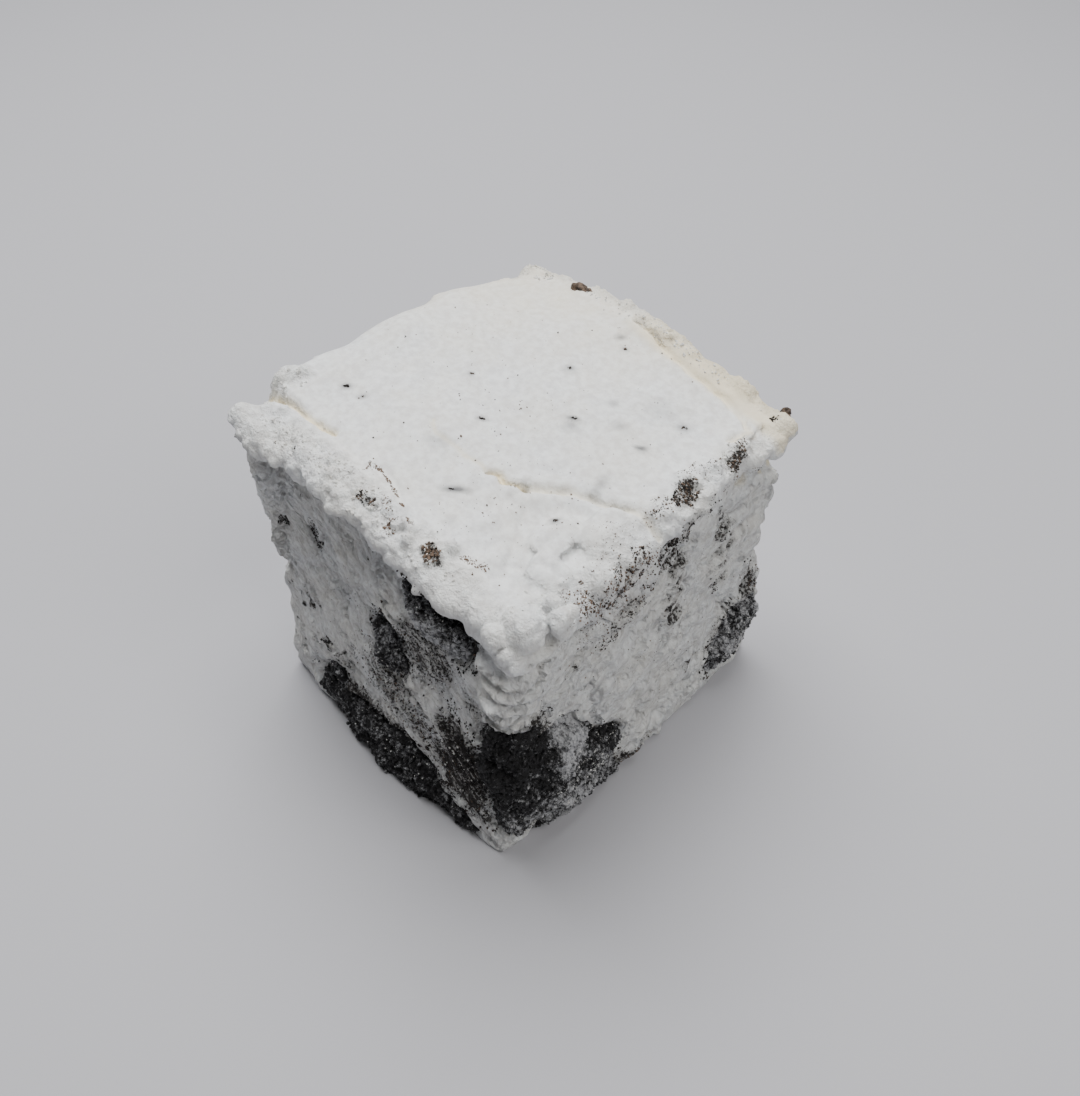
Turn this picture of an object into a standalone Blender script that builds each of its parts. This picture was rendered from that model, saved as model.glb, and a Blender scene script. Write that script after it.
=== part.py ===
"""A hand-cut marshmallow block with crushed cookie set into its cut sides.

Frame: +Z up, origin at the bottom centre of the whole piece's box. X runs across
the block and Y along it. "Front" is the -Y side, "right" is the +X side.
"""

import math

import bmesh
import bpy
from mathutils import Matrix, Vector, noise

MM = 0.001

# The corners of the cut block, at its base and just under the skin.
BASE_CORNERS = {
    "front_right": Vector((21.8, -24.4)) * MM,
    "front_left": Vector((-21.2, -24.0)) * MM,
    "back_left": Vector((-21.4, 24.0)) * MM,
    "back_right": Vector((21.2, 24.0)) * MM,
}
SKIN_CORNERS = {
    "front_right": Vector((22.9, -22.6)) * MM,
    "front_left": Vector((-19.9, -22.3)) * MM,
    "back_left": Vector((-21.2, 23.2)) * MM,
    "back_right": Vector((20.5, 23.2)) * MM,
}
CORNER_ROUNDING = 0.022
CORNER_SHARPNESS = 4
FOOT_BULGE = 0.7 * MM

# Height of the skin at the four corners, and how far it crowns between them.
SKIN_HEIGHT = {
    "front_right": 38.6 * MM,
    "front_left": 41.4 * MM,
    "back_left": 41.2 * MM,
    "back_right": 39.6 * MM,
}
SKIN_CROWN = 3.0 * MM
CROWN_TO_LEFT = 1.1 * MM
CROWN_TO_BACK = 0.9 * MM
SKIN_SWELL = 0.6 * MM

# The lip of skin that the knife dragged over each cut side.
LIP_OVERHANG = {
    "front": 1.5 * MM,
    "right": 1.6 * MM,
    "back": 1.5 * MM,
    "left": 2.3 * MM,
}
LIP_DEPTH = 1.4 * MM
LIP_ROUND = 1.4 * MM
LIP_LUMP_SIZE = 5.0 * MM
LIP_LUMP_STRETCH = 0.6
LIP_LUMPINESS = {
    "front": 1.0,
    "right": 1.0,
    "back": 0.7,
    "left": 0.15,
}
UNDERCUT = 0.6 * MM
UNDERCUT_DEPTH = 4.6 * MM
RIM_RISE = 0.6 * MM
RIM_WIDTH = 2.4 * MM

# Slow waves over the skin and the cut sides. They die out just above the flat base.
WAVE_SIZE = 9.0 * MM
SKIN_WAVE_HEIGHT = 0.45 * MM
SIDE_WAVE_HEIGHT = 0.9 * MM
RIPPLE_SIZE = 4.0 * MM
RIPPLE_HEIGHT = 0.6 * MM
BASE_FADE = 2.0 * MM

# Powers that set how soon one side's values give way to the next at a corner.
SIDE_SHARPNESS = 8
OUTWARD_SHARPNESS = 7

# Grid of the body, and how much closer its rows lie towards the lip.
GRID_CUTS = 25
ROW_CROWDING = 1.4
RIM_CROWDING = 0.22

# Clear space between the body and each lump of cookie.
GAP = 0.34 * MM
LUMP_ROUGHNESS = 0.32
LUMP_GRAIN = 3.0 * MM

# Torn lobes on the lip: where they sit, which way they are drawn out, and how far they reach.
LOBES = {
    "horn": {
        "centre": (-21.2 * MM, -23.2 * MM, 41.6 * MM),
        "pull": (-2.4 * MM, -0.9 * MM, 1.5 * MM),
        "reach": 2.5 * MM,
    },
    "shoulder": {
        "centre": (-22.6 * MM, -17.4 * MM, 42.2 * MM),
        "pull": (-0.4 * MM, 0.0, 1.5 * MM),
        "reach": 5.0 * MM,
    },
    "nugget": {
        "centre": (23.2 * MM, -22.6 * MM, 35.6 * MM),
        "pull": (1.2 * MM, -1.0 * MM, -0.6 * MM),
        "reach": 3.6 * MM,
    },
    "fold": {
        "centre": (22.8 * MM, -9.0 * MM, 37.4 * MM),
        "pull": (1.0 * MM, 0.0, -2.2 * MM),
        "reach": 7.0 * MM,
    },
    "knob": {
        "centre": (21.2 * MM, 23.6 * MM, 38.6 * MM),
        "pull": (0.5 * MM, 0.4 * MM, 0.4 * MM),
        "reach": 3.2 * MM,
    },
    "tail": {
        "centre": (-22.2 * MM, 23.8 * MM, 40.4 * MM),
        "pull": (-0.4 * MM, 0.6 * MM, 0.5 * MM),
        "reach": 3.4 * MM,
    },
}

# Lumps of crushed cookie: side they show on, centre, half sizes along the side,
# up and into the block, and the turn of their long axis in that side's plane.
COOKIES = {
    "cookie_front": {
        "side": "right",
        "centre": (20.5 * MM, -14.4 * MM, 9.2 * MM),
        "half": (12.8 * MM, 6.9 * MM, 3.0 * MM),
        "turn": -52.0,
        "detail": 3,
    },
    "cookie_strip": {
        "side": "front",
        "centre": (1.2 * MM, -22.8 * MM, 2.5 * MM),
        "half": (14.6 * MM, 4.4 * MM, 2.8 * MM),
        "turn": -7.0,
        "detail": 3,
    },
    "cookie_upper": {
        "side": "front",
        "centre": (10.6 * MM, -21.0 * MM, 33.9 * MM),
        "half": (5.8 * MM, 3.0 * MM, 2.6 * MM),
        "turn": -24.0,
        "detail": 2,
    },
    "cookie_left": {
        "side": "front",
        "centre": (2.4 * MM, -21.8 * MM, 22.2 * MM),
        "half": (2.4 * MM, 4.6 * MM, 2.2 * MM),
        "turn": 14.0,
        "detail": 2,
    },
    "cookie_right": {
        "side": "right",
        "centre": (19.9 * MM, 18.2 * MM, 6.8 * MM),
        "half": (6.2 * MM, 3.2 * MM, 2.4 * MM),
        "turn": 42.0,
        "detail": 2,
    },
}

SHOWN_COLLECTION = "marshmallow"
CUTTER_COLLECTION = "cookie pockets"


def clear_scene():
    for item in list(bpy.data.objects):
        bpy.data.objects.remove(item, do_unlink=True)


def new_collection(name, hidden):
    collection = bpy.data.collections.new(name)
    collection.hide_render = hidden
    bpy.context.scene.collection.children.link(collection)
    return collection


def new_material(name, colour, roughness):
    material = bpy.data.materials.new(name)
    material.use_nodes = True
    shader = material.node_tree.nodes["Principled BSDF"]
    shader.inputs["Base Color"].default_value = colour
    shader.inputs["Roughness"].default_value = roughness
    shader.inputs["Metallic"].default_value = 0.0
    material.diffuse_color = colour
    return material


def smooth_step(value):
    value = min(max(value, 0.0), 1.0)
    return value * value * (3.0 - 2.0 * value)


def bump(distance, width):
    return math.exp(-((distance / width) ** 2))


def wave(point, size, seed):
    """Smooth noise from about -1 to 1, with features about as wide as size."""
    return noise.noise(point / size + Vector((seed * 17.3, seed * 5.9, seed * 31.7)))


def corner_mix(s, t, corners):
    """Value at (s, t), each from -1 to 1, from the values at the four corners."""
    right = 0.5 + 0.5 * s
    back = 0.5 + 0.5 * t
    front_value = corners["front_left"] * (1.0 - right) + corners["front_right"] * right
    back_value = corners["back_left"] * (1.0 - right) + corners["back_right"] * right
    return front_value * (1.0 - back) + back_value * back


def side_mix(s, t, sides):
    """Value at (s, t), mostly that of the side it is nearest to."""
    weights = {
        "front": max(0.0, -t) ** SIDE_SHARPNESS,
        "back": max(0.0, t) ** SIDE_SHARPNESS,
        "right": max(0.0, s) ** SIDE_SHARPNESS,
        "left": max(0.0, -s) ** SIDE_SHARPNESS,
    }
    total = sum(weights.values()) + 1e-9
    return sum(sides[side] * weight for side, weight in weights.items()) / total


def skin_height(s, t):
    crown = (SKIN_CROWN - CROWN_TO_LEFT * s + CROWN_TO_BACK * t) * (1.0 - (s * t) ** 2)
    swell = SKIN_SWELL * (1.0 - s * s) * (1.0 - t * t)
    return corner_mix(s, t, SKIN_HEIGHT) + crown + swell


def round_edge(inset, depth):
    """Carries a square edge, given as distances from its two faces, onto a quarter round."""
    if inset >= LIP_ROUND or depth >= LIP_ROUND:
        return inset, depth
    across = LIP_ROUND - inset
    down = LIP_ROUND - depth
    length = math.hypot(across, down)
    scale = max(across, down) / length
    return LIP_ROUND - across * scale, LIP_ROUND - down * scale


def block_point(s, t, h):
    """A point of the marshmallow from its place in a unit block: s, t from -1 to 1, h from 0 to 1."""
    s *= 1.0 + RIM_CROWDING * (1.0 - s * s)
    t *= 1.0 + RIM_CROWDING * (1.0 - t * t)
    h = 1.0 - (1.0 - h) ** ROW_CROWDING
    top = skin_height(s, t)
    rim = max(abs(s), abs(t))
    half = 0.5 * min(BASE_CORNERS["front_right"].x - BASE_CORNERS["front_left"].x, top)
    inset = (1.0 - rim) * half
    depth = (1.0 - h) * top
    new_inset, new_depth = round_edge(inset, depth)
    shrink = (1.0 - new_inset / half) / max(rim, 1e-6)
    shrink *= 1.0 - CORNER_ROUNDING * (s * t) ** CORNER_SHARPNESS
    base_place = corner_mix(s * shrink, t * shrink, BASE_CORNERS)
    skin_place = corner_mix(s * shrink, t * shrink, SKIN_CORNERS)
    place = (base_place * (1.0 - h) + skin_place * h).to_3d()
    place.z = top - new_depth

    # Outward, level with the base: along the nearest side, or along the diagonal at a corner.
    across = math.copysign(abs(s) ** OUTWARD_SHARPNESS, s)
    along = math.copysign(abs(t) ** OUTWARD_SHARPNESS, t)
    outward = Vector((across, along, 0.0))
    lump_place = Vector((place.x, place.y, place.z * LIP_LUMP_STRETCH))
    lumps = 1.0 + side_mix(s, t, LIP_LUMPINESS) * wave(lump_place, LIP_LUMP_SIZE, 1)
    lip = side_mix(s, t, LIP_OVERHANG) * bump(depth - LIP_DEPTH, LIP_DEPTH) * lumps
    undercut = UNDERCUT * bump(depth - UNDERCUT_DEPTH, LIP_DEPTH)
    foot = FOOT_BULGE * (1.0 - h) ** 2 * (1.0 - (s * t) ** 2)
    place += outward * (lip - undercut + foot)

    # The skin stands a little proud along the rim.
    rise = RIM_RISE * bump(inset - 0.5 * RIM_WIDTH, RIM_WIDTH) * bump(depth, LIP_DEPTH)
    place.z += rise * lumps

    for lobe in LOBES.values():
        away = place - Vector(lobe["centre"])
        place += Vector(lobe["pull"]) * bump(away.length, lobe["reach"])

    fade = smooth_step(place.z / BASE_FADE)
    swell = SIDE_WAVE_HEIGHT * wave(place, WAVE_SIZE, 2) + RIPPLE_HEIGHT * wave(place, RIPPLE_SIZE, 3)
    skin = smooth_step(1.0 - depth / LIP_DEPTH) * smooth_step(inset / RIM_WIDTH)
    place += outward * (swell * fade)
    place.z += skin * SKIN_WAVE_HEIGHT * wave(place, WAVE_SIZE, 4)
    if h <= 0.0:
        place.z = 0.0
    return place


def make_body(collection, material):
    """A closed grid, carried point by point onto the block's shape."""
    grid = bmesh.new()
    bmesh.ops.create_cube(grid, size=2.0)
    bmesh.ops.subdivide_edges(grid, edges=grid.edges[:], cuts=GRID_CUTS, use_grid_fill=True)
    base = [face for face in grid.faces if face.normal.z < -0.5]
    bmesh.ops.dissolve_faces(grid, faces=base, use_verts=False)
    for vertex in grid.verts:
        s, t, h = vertex.co.x, vertex.co.y, 0.5 + 0.5 * vertex.co.z
        vertex.co = block_point(s, t, h)
    mesh = bpy.data.meshes.new("marshmallow")
    grid.to_mesh(mesh)
    grid.free()
    mesh.materials.append(material)
    body = bpy.data.objects.new("marshmallow", mesh)
    collection.objects.link(body)
    return body


def side_axes(side):
    """Along, up and outward for a side, as the columns of a rotation."""
    along = Vector((1.0, 0.0, 0.0)) if side == "front" else Vector((0.0, 1.0, 0.0))
    up = Vector((0.0, 0.0, 1.0))
    outward = Vector((0.0, -1.0, 0.0)) if side == "front" else Vector((1.0, 0.0, 0.0))
    return Matrix((along, up, outward)).transposed()


def lump_mesh(name, cookie, grow, as_pocket):
    """A broken lump: a ball stretched to its half sizes and roughened, grown outward by grow.

    A lump stops at the base. A pocket runs out through it."""
    ball = bmesh.new()
    bmesh.ops.create_icosphere(ball, subdivisions=cookie["detail"], radius=1.0)
    stretch = Vector(cookie["half"])
    turn = Matrix.Rotation(math.radians(cookie["turn"]), 3, "Z")
    axes = side_axes(cookie["side"])
    centre = Vector(cookie["centre"])
    for vertex in ball.verts:
        ray = vertex.co.normalized()
        reach = Vector((ray.x * stretch.x, ray.y * stretch.y, ray.z * stretch.z))
        place = centre + axes @ (turn @ reach)
        rough = 1.0 + LUMP_ROUGHNESS * wave(place, LUMP_GRAIN, 5)
        vertex.co = centre + (place - centre) * rough
    ball.normal_update()
    shifts = [vertex.normal * grow for vertex in ball.verts]
    for vertex, shift in zip(ball.verts, shifts):
        vertex.co += shift
        if not as_pocket:
            vertex.co.z = max(vertex.co.z, 0.0)
    mesh = bpy.data.meshes.new(name)
    ball.to_mesh(mesh)
    ball.free()
    return mesh


def make_cookie(name, cookie, body, shown, cutters, material):
    """A lump of crushed cookie, and the pocket it leaves in the body."""
    mesh = lump_mesh(name, cookie, 0.0, False)
    mesh.materials.append(material)
    lump = bpy.data.objects.new(name, mesh)
    shown.objects.link(lump)

    pocket = bpy.data.objects.new(name + "_pocket", lump_mesh(name + "_pocket", cookie, GAP, True))
    pocket.hide_render = True
    pocket.display_type = "WIRE"
    cutters.objects.link(pocket)

    cut = body.modifiers.new(name + " pocket", "BOOLEAN")
    cut.operation = "DIFFERENCE"
    cut.solver = "EXACT"
    cut.object = pocket
    return lump, pocket


def place_on_origin(items, shown):
    """Hangs everything on an empty, moved so that the box of the shown pieces stands on the origin."""
    bpy.context.view_layer.update()
    graph = bpy.context.evaluated_depsgraph_get()
    lowest = Vector((1.0, 1.0, 1.0))
    highest = -lowest
    for item in shown:
        for vertex in item.evaluated_get(graph).data.vertices:
            lowest = Vector(map(min, lowest, vertex.co))
            highest = Vector(map(max, highest, vertex.co))
    middle = 0.5 * (lowest + highest)
    anchor = bpy.data.objects.new("anchor", None)
    bpy.context.scene.collection.objects.link(anchor)
    for item in items:
        item.parent = anchor
    anchor.location = (-middle.x, -middle.y, -lowest.z)
    print("moved by", [round(value / MM, 3) for value in anchor.location], "mm")
    print("size", [round(value / MM, 2) for value in highest - lowest], "mm")


def main():
    clear_scene()
    shown = new_collection(SHOWN_COLLECTION, False)
    cutters = new_collection(CUTTER_COLLECTION, True)
    foam = new_material("whipped sugar foam", (0.78, 0.79, 0.78, 1.0), 0.85)
    crumb = new_material("cocoa cookie crumb", (0.012, 0.011, 0.011, 1.0), 0.7)
    body = make_body(shown, foam)
    pieces = [body]
    pockets = []
    for name, cookie in COOKIES.items():
        lump, pocket = make_cookie(name, cookie, body, shown, cutters, crumb)
        pieces.append(lump)
        pockets.append(pocket)
    place_on_origin(pieces + pockets, pieces)


main()
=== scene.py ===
import math
import random

import bmesh
import bpy
import numpy as np
from mathutils import Matrix, Vector, noise
from mathutils.bvhtree import BVHTree


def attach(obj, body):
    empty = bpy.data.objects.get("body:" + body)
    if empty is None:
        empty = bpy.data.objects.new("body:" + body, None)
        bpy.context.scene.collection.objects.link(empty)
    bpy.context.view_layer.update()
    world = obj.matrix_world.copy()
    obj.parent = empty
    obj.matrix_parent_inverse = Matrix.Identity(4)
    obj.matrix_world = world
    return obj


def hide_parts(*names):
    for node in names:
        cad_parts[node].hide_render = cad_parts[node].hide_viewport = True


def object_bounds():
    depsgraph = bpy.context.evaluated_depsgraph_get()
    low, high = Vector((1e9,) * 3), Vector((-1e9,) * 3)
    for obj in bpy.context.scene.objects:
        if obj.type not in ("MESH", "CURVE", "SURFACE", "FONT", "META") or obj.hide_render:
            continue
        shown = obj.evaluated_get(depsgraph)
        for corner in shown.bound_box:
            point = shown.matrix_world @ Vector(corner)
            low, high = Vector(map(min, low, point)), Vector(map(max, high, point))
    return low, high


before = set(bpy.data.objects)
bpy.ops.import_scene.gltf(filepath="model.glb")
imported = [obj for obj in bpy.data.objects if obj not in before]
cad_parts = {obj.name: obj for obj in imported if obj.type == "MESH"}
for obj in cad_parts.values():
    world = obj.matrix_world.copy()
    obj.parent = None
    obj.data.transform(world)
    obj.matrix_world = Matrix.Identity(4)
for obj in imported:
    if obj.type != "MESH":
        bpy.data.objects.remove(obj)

cadLow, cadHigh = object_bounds()
mm = 0.001
# All places below are in millimetres from the middle of the block's base.
# The near corner is at +x and -y, so the two cut sides in view are "front" (-y) and "right" (+x).
origin = np.array(((cadLow.x + cadHigh.x) / 2, (cadLow.y + cadHigh.y) / 2, cadLow.z)) / mm
cookieNames = ["cookie_front", "cookie_strip", "cookie_upper", "cookie_left", "cookie_right"]


def smoothStep(low, high, value):
    t = np.clip((value - low) / (high - low), 0.0, 1.0)
    return t * t * (3.0 - 2.0 * t)


def softNoise(places, size, seed):
    # smooth noise from about -1 to 1, with cells size mm wide
    shifted = np.asarray(places) / size + np.array((17.3, 5.9, 31.7)) * seed
    return np.array([noise.noise(place) for place in shifted.tolist()])


def cellNoise(places, size, seed):
    # 1 in the middle of each rounded cell, falling to sharp creases between cells
    shifted = np.asarray(places) / size + np.array((7.1, 13.9, 3.7)) * seed
    nearest = np.array([noise.voronoi(place)[0][0] for place in shifted.tolist()])
    return 1.0 - np.clip(nearest, 0.0, 1.0) ** 2


def lineDistance(places, line):
    # shortest distance in plan from each place to a bent line
    best = np.full(len(places), 1e3)
    for start, end in zip(line[:-1], line[1:]):
        start, end = np.array(start), np.array(end)
        run = end - start
        along = np.clip(((places[:, :2] - start) @ run) / (run @ run), 0.0, 1.0)
        away = places[:, :2] - (start + along[:, None] * run)
        best = np.minimum(best, np.hypot(away[:, 0], away[:, 1]))
    return best


def nodeCopy(name, grow=0.0):
    # a loose copy of a CAD node, pushed outward by grow mm
    shape = bmesh.new()
    shape.from_mesh(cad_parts[name].data)
    bmesh.ops.remove_doubles(shape, verts=shape.verts[:], dist=0.001 * mm)
    shape.normal_update()
    for vertex, push in zip(shape.verts, [v.normal * grow * mm for v in shape.verts]):
        vertex.co += push
    return shape


def ballShape(level):
    if level == 0:
        # the coarsest is two four-sided pyramids, base to base
        points = np.array([(1, 0, 0), (0, 1, 0), (-1, 0, 0), (0, -1, 0), (0, 0, 1), (0, 0, -1)], float)
        upper = [(0, 1, 4), (1, 2, 4), (2, 3, 4), (3, 0, 4)]
        lower = [(1, 0, 5), (2, 1, 5), (3, 2, 5), (0, 3, 5)]
        return points, np.array(upper + lower)
    shape = bmesh.new()
    bmesh.ops.create_icosphere(shape, subdivisions=level, radius=1.0)
    points = np.array([vertex.co for vertex in shape.verts])
    faces = np.array([[vertex.index for vertex in face.verts] for face in shape.faces])
    shape.free()
    return points, faces


def lumpPoints(points, middle, radii, lean, rough):
    # a foam lump: a ball stretched to its radii, leaned, and made uneven
    x, y, z = (math.radians(angle) for angle in lean)
    turn = np.array(Matrix.Rotation(z, 3, "Z") @ Matrix.Rotation(y, 3, "Y") @ Matrix.Rotation(x, 3, "X"))
    reach = (points * radii) @ turn.T
    swell = 1.0 + rough * 2.0 * softNoise(reach + middle, max(0.9 * max(radii), 0.4), 0)
    return np.array(middle) + reach * swell[:, None]


def addLumps(shape, lumps, rough, level):
    # many lumps into one mesh at once; each lump is middle, radii, lean
    points, faces = ballShape(level)
    places = [lumpPoints(points, middle, radii, lean, rough) for middle, radii, lean in lumps]
    rings = [faces + index * len(points) for index in range(len(lumps))]
    mesh = bpy.data.meshes.new("lumps")
    mesh.from_pydata(((np.concatenate(places) + origin) * mm).tolist(), [], np.concatenate(rings).tolist())
    shape.from_mesh(mesh)
    bpy.data.meshes.remove(mesh)


def meshObject(name, shape):
    mesh = bpy.data.meshes.new(name)
    shape.to_mesh(mesh)
    shape.free()
    made = bpy.data.objects.new(name, mesh)
    bpy.context.scene.collection.objects.link(made)
    return made


def applied(thing):
    # keeps what the modifiers make, and takes them off
    graph = bpy.context.evaluated_depsgraph_get()
    mesh = bpy.data.meshes.new_from_object(thing.evaluated_get(graph))
    old = thing.data
    thing.modifiers.clear()
    thing.data = mesh
    bpy.data.meshes.remove(old)
    mesh.name = thing.name
    return thing


def evenSkin(thing, voxel, smoothing):
    # one closed skin round everything that overlaps, then relaxed
    remesh = thing.modifiers.new("even skin", "REMESH")
    remesh.mode = "VOXEL"
    remesh.voxel_size = voxel * mm
    relax = thing.modifiers.new("relax", "SMOOTH")
    relax.factor = 0.5
    relax.iterations = smoothing
    return applied(thing)


def thinOut(thing, mostFaces, baseDepth):
    # the flat base gives up its faces first, then the rest thins evenly
    thing.data.calc_loop_triangles()
    count = len(thing.data.loop_triangles)
    if count <= mostFaces:
        return thing
    places, _ = readPlaces(thing.data)
    group = thing.vertex_groups.new(name="thinning")
    group.add(np.nonzero(places[:, 2] > baseDepth)[0].tolist(), 0.3, "REPLACE")
    group.add(np.nonzero(places[:, 2] <= baseDepth)[0].tolist(), 1.0, "REPLACE")
    thin = thing.modifiers.new("thin out", "DECIMATE")
    thin.ratio = mostFaces / count
    thin.use_collapse_triangulate = True
    thin.vertex_group = group.name
    thin.vertex_group_factor = foamBlock["thinEvenly"]
    applied(thing)
    thing.vertex_groups.clear()
    return thing


def readPlaces(mesh):
    places = np.empty(len(mesh.vertices) * 3)
    mesh.vertices.foreach_get("co", places)
    normals = np.empty(len(mesh.vertices) * 3)
    mesh.vertex_normals.foreach_get("vector", normals)
    return places.reshape(-1, 3) / mm - origin, normals.reshape(-1, 3)


def writePlaces(mesh, places):
    mesh.vertices.foreach_set("co", ((places + origin) * mm).ravel())
    mesh.update()


def paint(mesh, name, channels):
    # up to four masks in one colour attribute
    values = np.zeros((len(mesh.vertices), 4))
    for index, channel in enumerate(channels):
        values[:, index] = channel
    layer = mesh.color_attributes.new(name, "FLOAT_COLOR", "POINT")
    layer.data.foreach_set("color", values.ravel())


def treeOf(*things):
    # everything given, as one surface to drop crumbs on, in mm
    joined = bmesh.new()
    for thing in things:
        joined.from_mesh(thing.data)
    joined.transform(Matrix.Scale(1.0 / mm, 4))
    tree = BVHTree.FromBMesh(joined)
    joined.free()
    return tree


foamBlock = {
    "voxel": 0.28,  # mm; how fine the skin is
    "quickVoxel": 0.5,
    "pocketFill": 0.3,  # mm the fill of a pocket stands past it
    "bodySmoothing": 30,
    "lumpSmoothing": 2,
    "mostFaces": 194000,
    "thinEvenly": 0.001,
    "baseDepth": 0.1,  # mm; what counts as the base when the faces are thinned
    "flatBelow": 0.12,  # mm; what is pressed flat on the floor
    "layers": {  # torn layers of each cut side, mm and degrees
        "front": {"length": 2.8, "gap": 1.1, "height": 0.55, "puff": 0.9, "slope": -38.0},
        "right": {"length": 3.6, "gap": 1.7, "height": 0.75, "puff": 1.9, "slope": 28.0},
        "back": {"length": 3.6, "gap": 1.5, "height": 0.5, "puff": 0.9, "slope": 24.0},
        "left": {"length": 3.2, "gap": 1.3, "height": 0.5, "puff": 0.8, "slope": -28.0},
    },
    "pitSize": 0.75,  # the sizes and heights below are mm
    "pitDepth": 0.14,
    "swell": {"size": 5.0, "height": 0.3},
    "ripple": {"size": 0.8, "height": 0.12},
    "crustSize": 0.95,
    "crustHeight": 0.5,
    "foldSize": 2.4,
    "foldHeight": 0.36,
    "creaseBetweenLumps": 0.4,
    "skinWave": {"size": 6.0, "height": 0.2},
    "skinRipple": {"size": 2.2, "height": 0.07},
    "skinWrinkle": {"size": 2.4, "height": 0.7},
    "nearCorner": (17.0, -12.0, 33.5),  # where the nugget's own relief takes over
    "pressedIn": 0.6,  # mm the foam gives way round a lump of cookie
    "lumpRoughness": {"swells": 0.05, "lobes": 0.12, "crumbs": 0.2},
    "horn": {"lift": 0.9, "x": (-19.5, -16.5), "y": (-22.0, -19.5), "foot": (36.0, 38.5),
             "top": (41.0, 44.0)},
}

# Torn lobes and pulled lumps: middle, radii, lean.
foamLumps = [
    ((-21.5, -22.5, 42.0), (2.4, 1.9, 1.9), (0, -8, 10)),  # horn at the left corner
    ((-22.3, -22.7, 41.6), (1.5, 1.6, 1.8), (0, 0, 0)),  # its blunt tip
    ((-18.6, -22.1, 41.9), (2.8, 2.0, 1.7), (0, 0, 5)),
    ((-15.3, -21.8, 41.7), (2.6, 2.2, 1.5), (0, 4, 0)),
    ((-12.0, -21.4, 41.6), (2.6, 2.3, 1.5), (0, 4, 0)),
    ((-19.7, -21.9, 36.5), (2.1, 2.1, 4.6), (0, 0, 0)),  # the left corner swelling towards the horn
    ((-19.6, -21.8, 31.0), (2.0, 2.0, 5.4), (0, 0, 0)),
    ((-19.4, -21.6, 25.5), (1.8, 1.8, 5.0), (0, 0, 0)),
    ((-8.6, -21.4, 41.5), (2.4, 2.2, 1.4), (0, 4, 0)),
    ((-5.0, -21.2, 41.4), (2.4, 2.4, 1.4), (0, 4, 0)),
    ((-1.6, -21.4, 41.0), (2.2, 2.2, 1.4), (0, 4, 0)),
    ((2.0, -21.6, 40.6), (2.2, 2.2, 1.4), (0, 4, 0)),
    ((5.4, -22.2, 40.0), (2.2, 1.9, 1.4), (0, 6, 0)),
    ((12.6, -21.6, 38.8), (3.6, 2.2, 1.9), (0, 14, 0)),  # flap before the near corner
    ((17.0, -21.0, 38.2), (2.8, 2.0, 2.2), (0, 18, 0)),
    ((-22.3, -15.9, 43.4), (1.7, 2.5, 1.9), (0, 0, 0)),  # crumbly shoulder
    ((19.9, -20.4, 33.2), (3.3, 3.3, 0.8), (18, 14, 40)),
    ((20.1, -20.4, 31.3), (3.4, 3.3, 0.7), (16, 14, 40)),
    ((20.0, -20.5, 29.3), (3.3, 3.4, 0.8), (18, 14, 40)),
    ((20.2, -20.5, 27.2), (3.2, 3.2, 0.7), (16, 14, 40)),
    ((20.1, -20.7, 25.0), (3.0, 3.0, 0.7), (14, 12, 40)),
    ((19.6, -5.2, 39.8), (3.4, 3.7, 1.9), (0, 22, 0)),  # puffed fold on the right edge
    ((21.6, -9.0, 38.2), (2.1, 3.0, 2.0), (0, 20, 0)),
    ((22.2, -4.0, 38.5), (1.5, 2.4, 2.1), (0, 0, 0)),
    ((16.0, -9.6, 40.6), (2.6, 3.2, 1.2), (0, 10, 0)),
    ((18.6, -13.4, 39.8), (2.4, 2.2, 1.3), (0, 16, 0)),
    ((20.9, -11.8, 37.4), (1.6, 1.9, 1.5), (0, 0, 0)),
    ((20.4, 22.6, 39.8), (2.0, 1.8, 1.6), (0, 0, 0)),  # knob at the right corner
    ((21.4, 20.0, 39.2), (1.4, 2.0, 1.4), (0, 0, 0)),
    ((21.2, 16.6, 39.0), (1.1, 1.6, 1.3), (0, 0, 0)),
    ((-19.8, 21.8, 42.7), (3.0, 1.7, 1.3), (0, 0, 0)),  # crumbly tail at the back
    ((-15.6, 22.8, 43.1), (1.7, 1.2, 1.0), (0, 0, 0)),
    ((-4.8, 22.6, 44.3), (1.5, 1.3, 1.2), (0, 0, 0)),
    ((0.5, 22.2, 44.0), (3.0, 1.5, 1.1), (0, 6, 0)),  # rolled band along the back edge
    ((5.0, 22.4, 43.1), (3.2, 1.6, 1.1), (0, 8, 0)),
    ((9.6, 22.4, 42.3), (3.0, 1.7, 1.2), (0, 10, 0)),
    ((14.0, 22.6, 41.4), (3.0, 1.9, 1.3), (0, 12, 0)),
    ((21.3, -11.0, 17.2), (1.1, 1.25, 1.3), (0, 0, 0)),  # round nodule low on the right side
    ((21.9, -15.2, 24.3), (0.9, 1.3, 2.7), (-30, 0, 0)),
]

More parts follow.
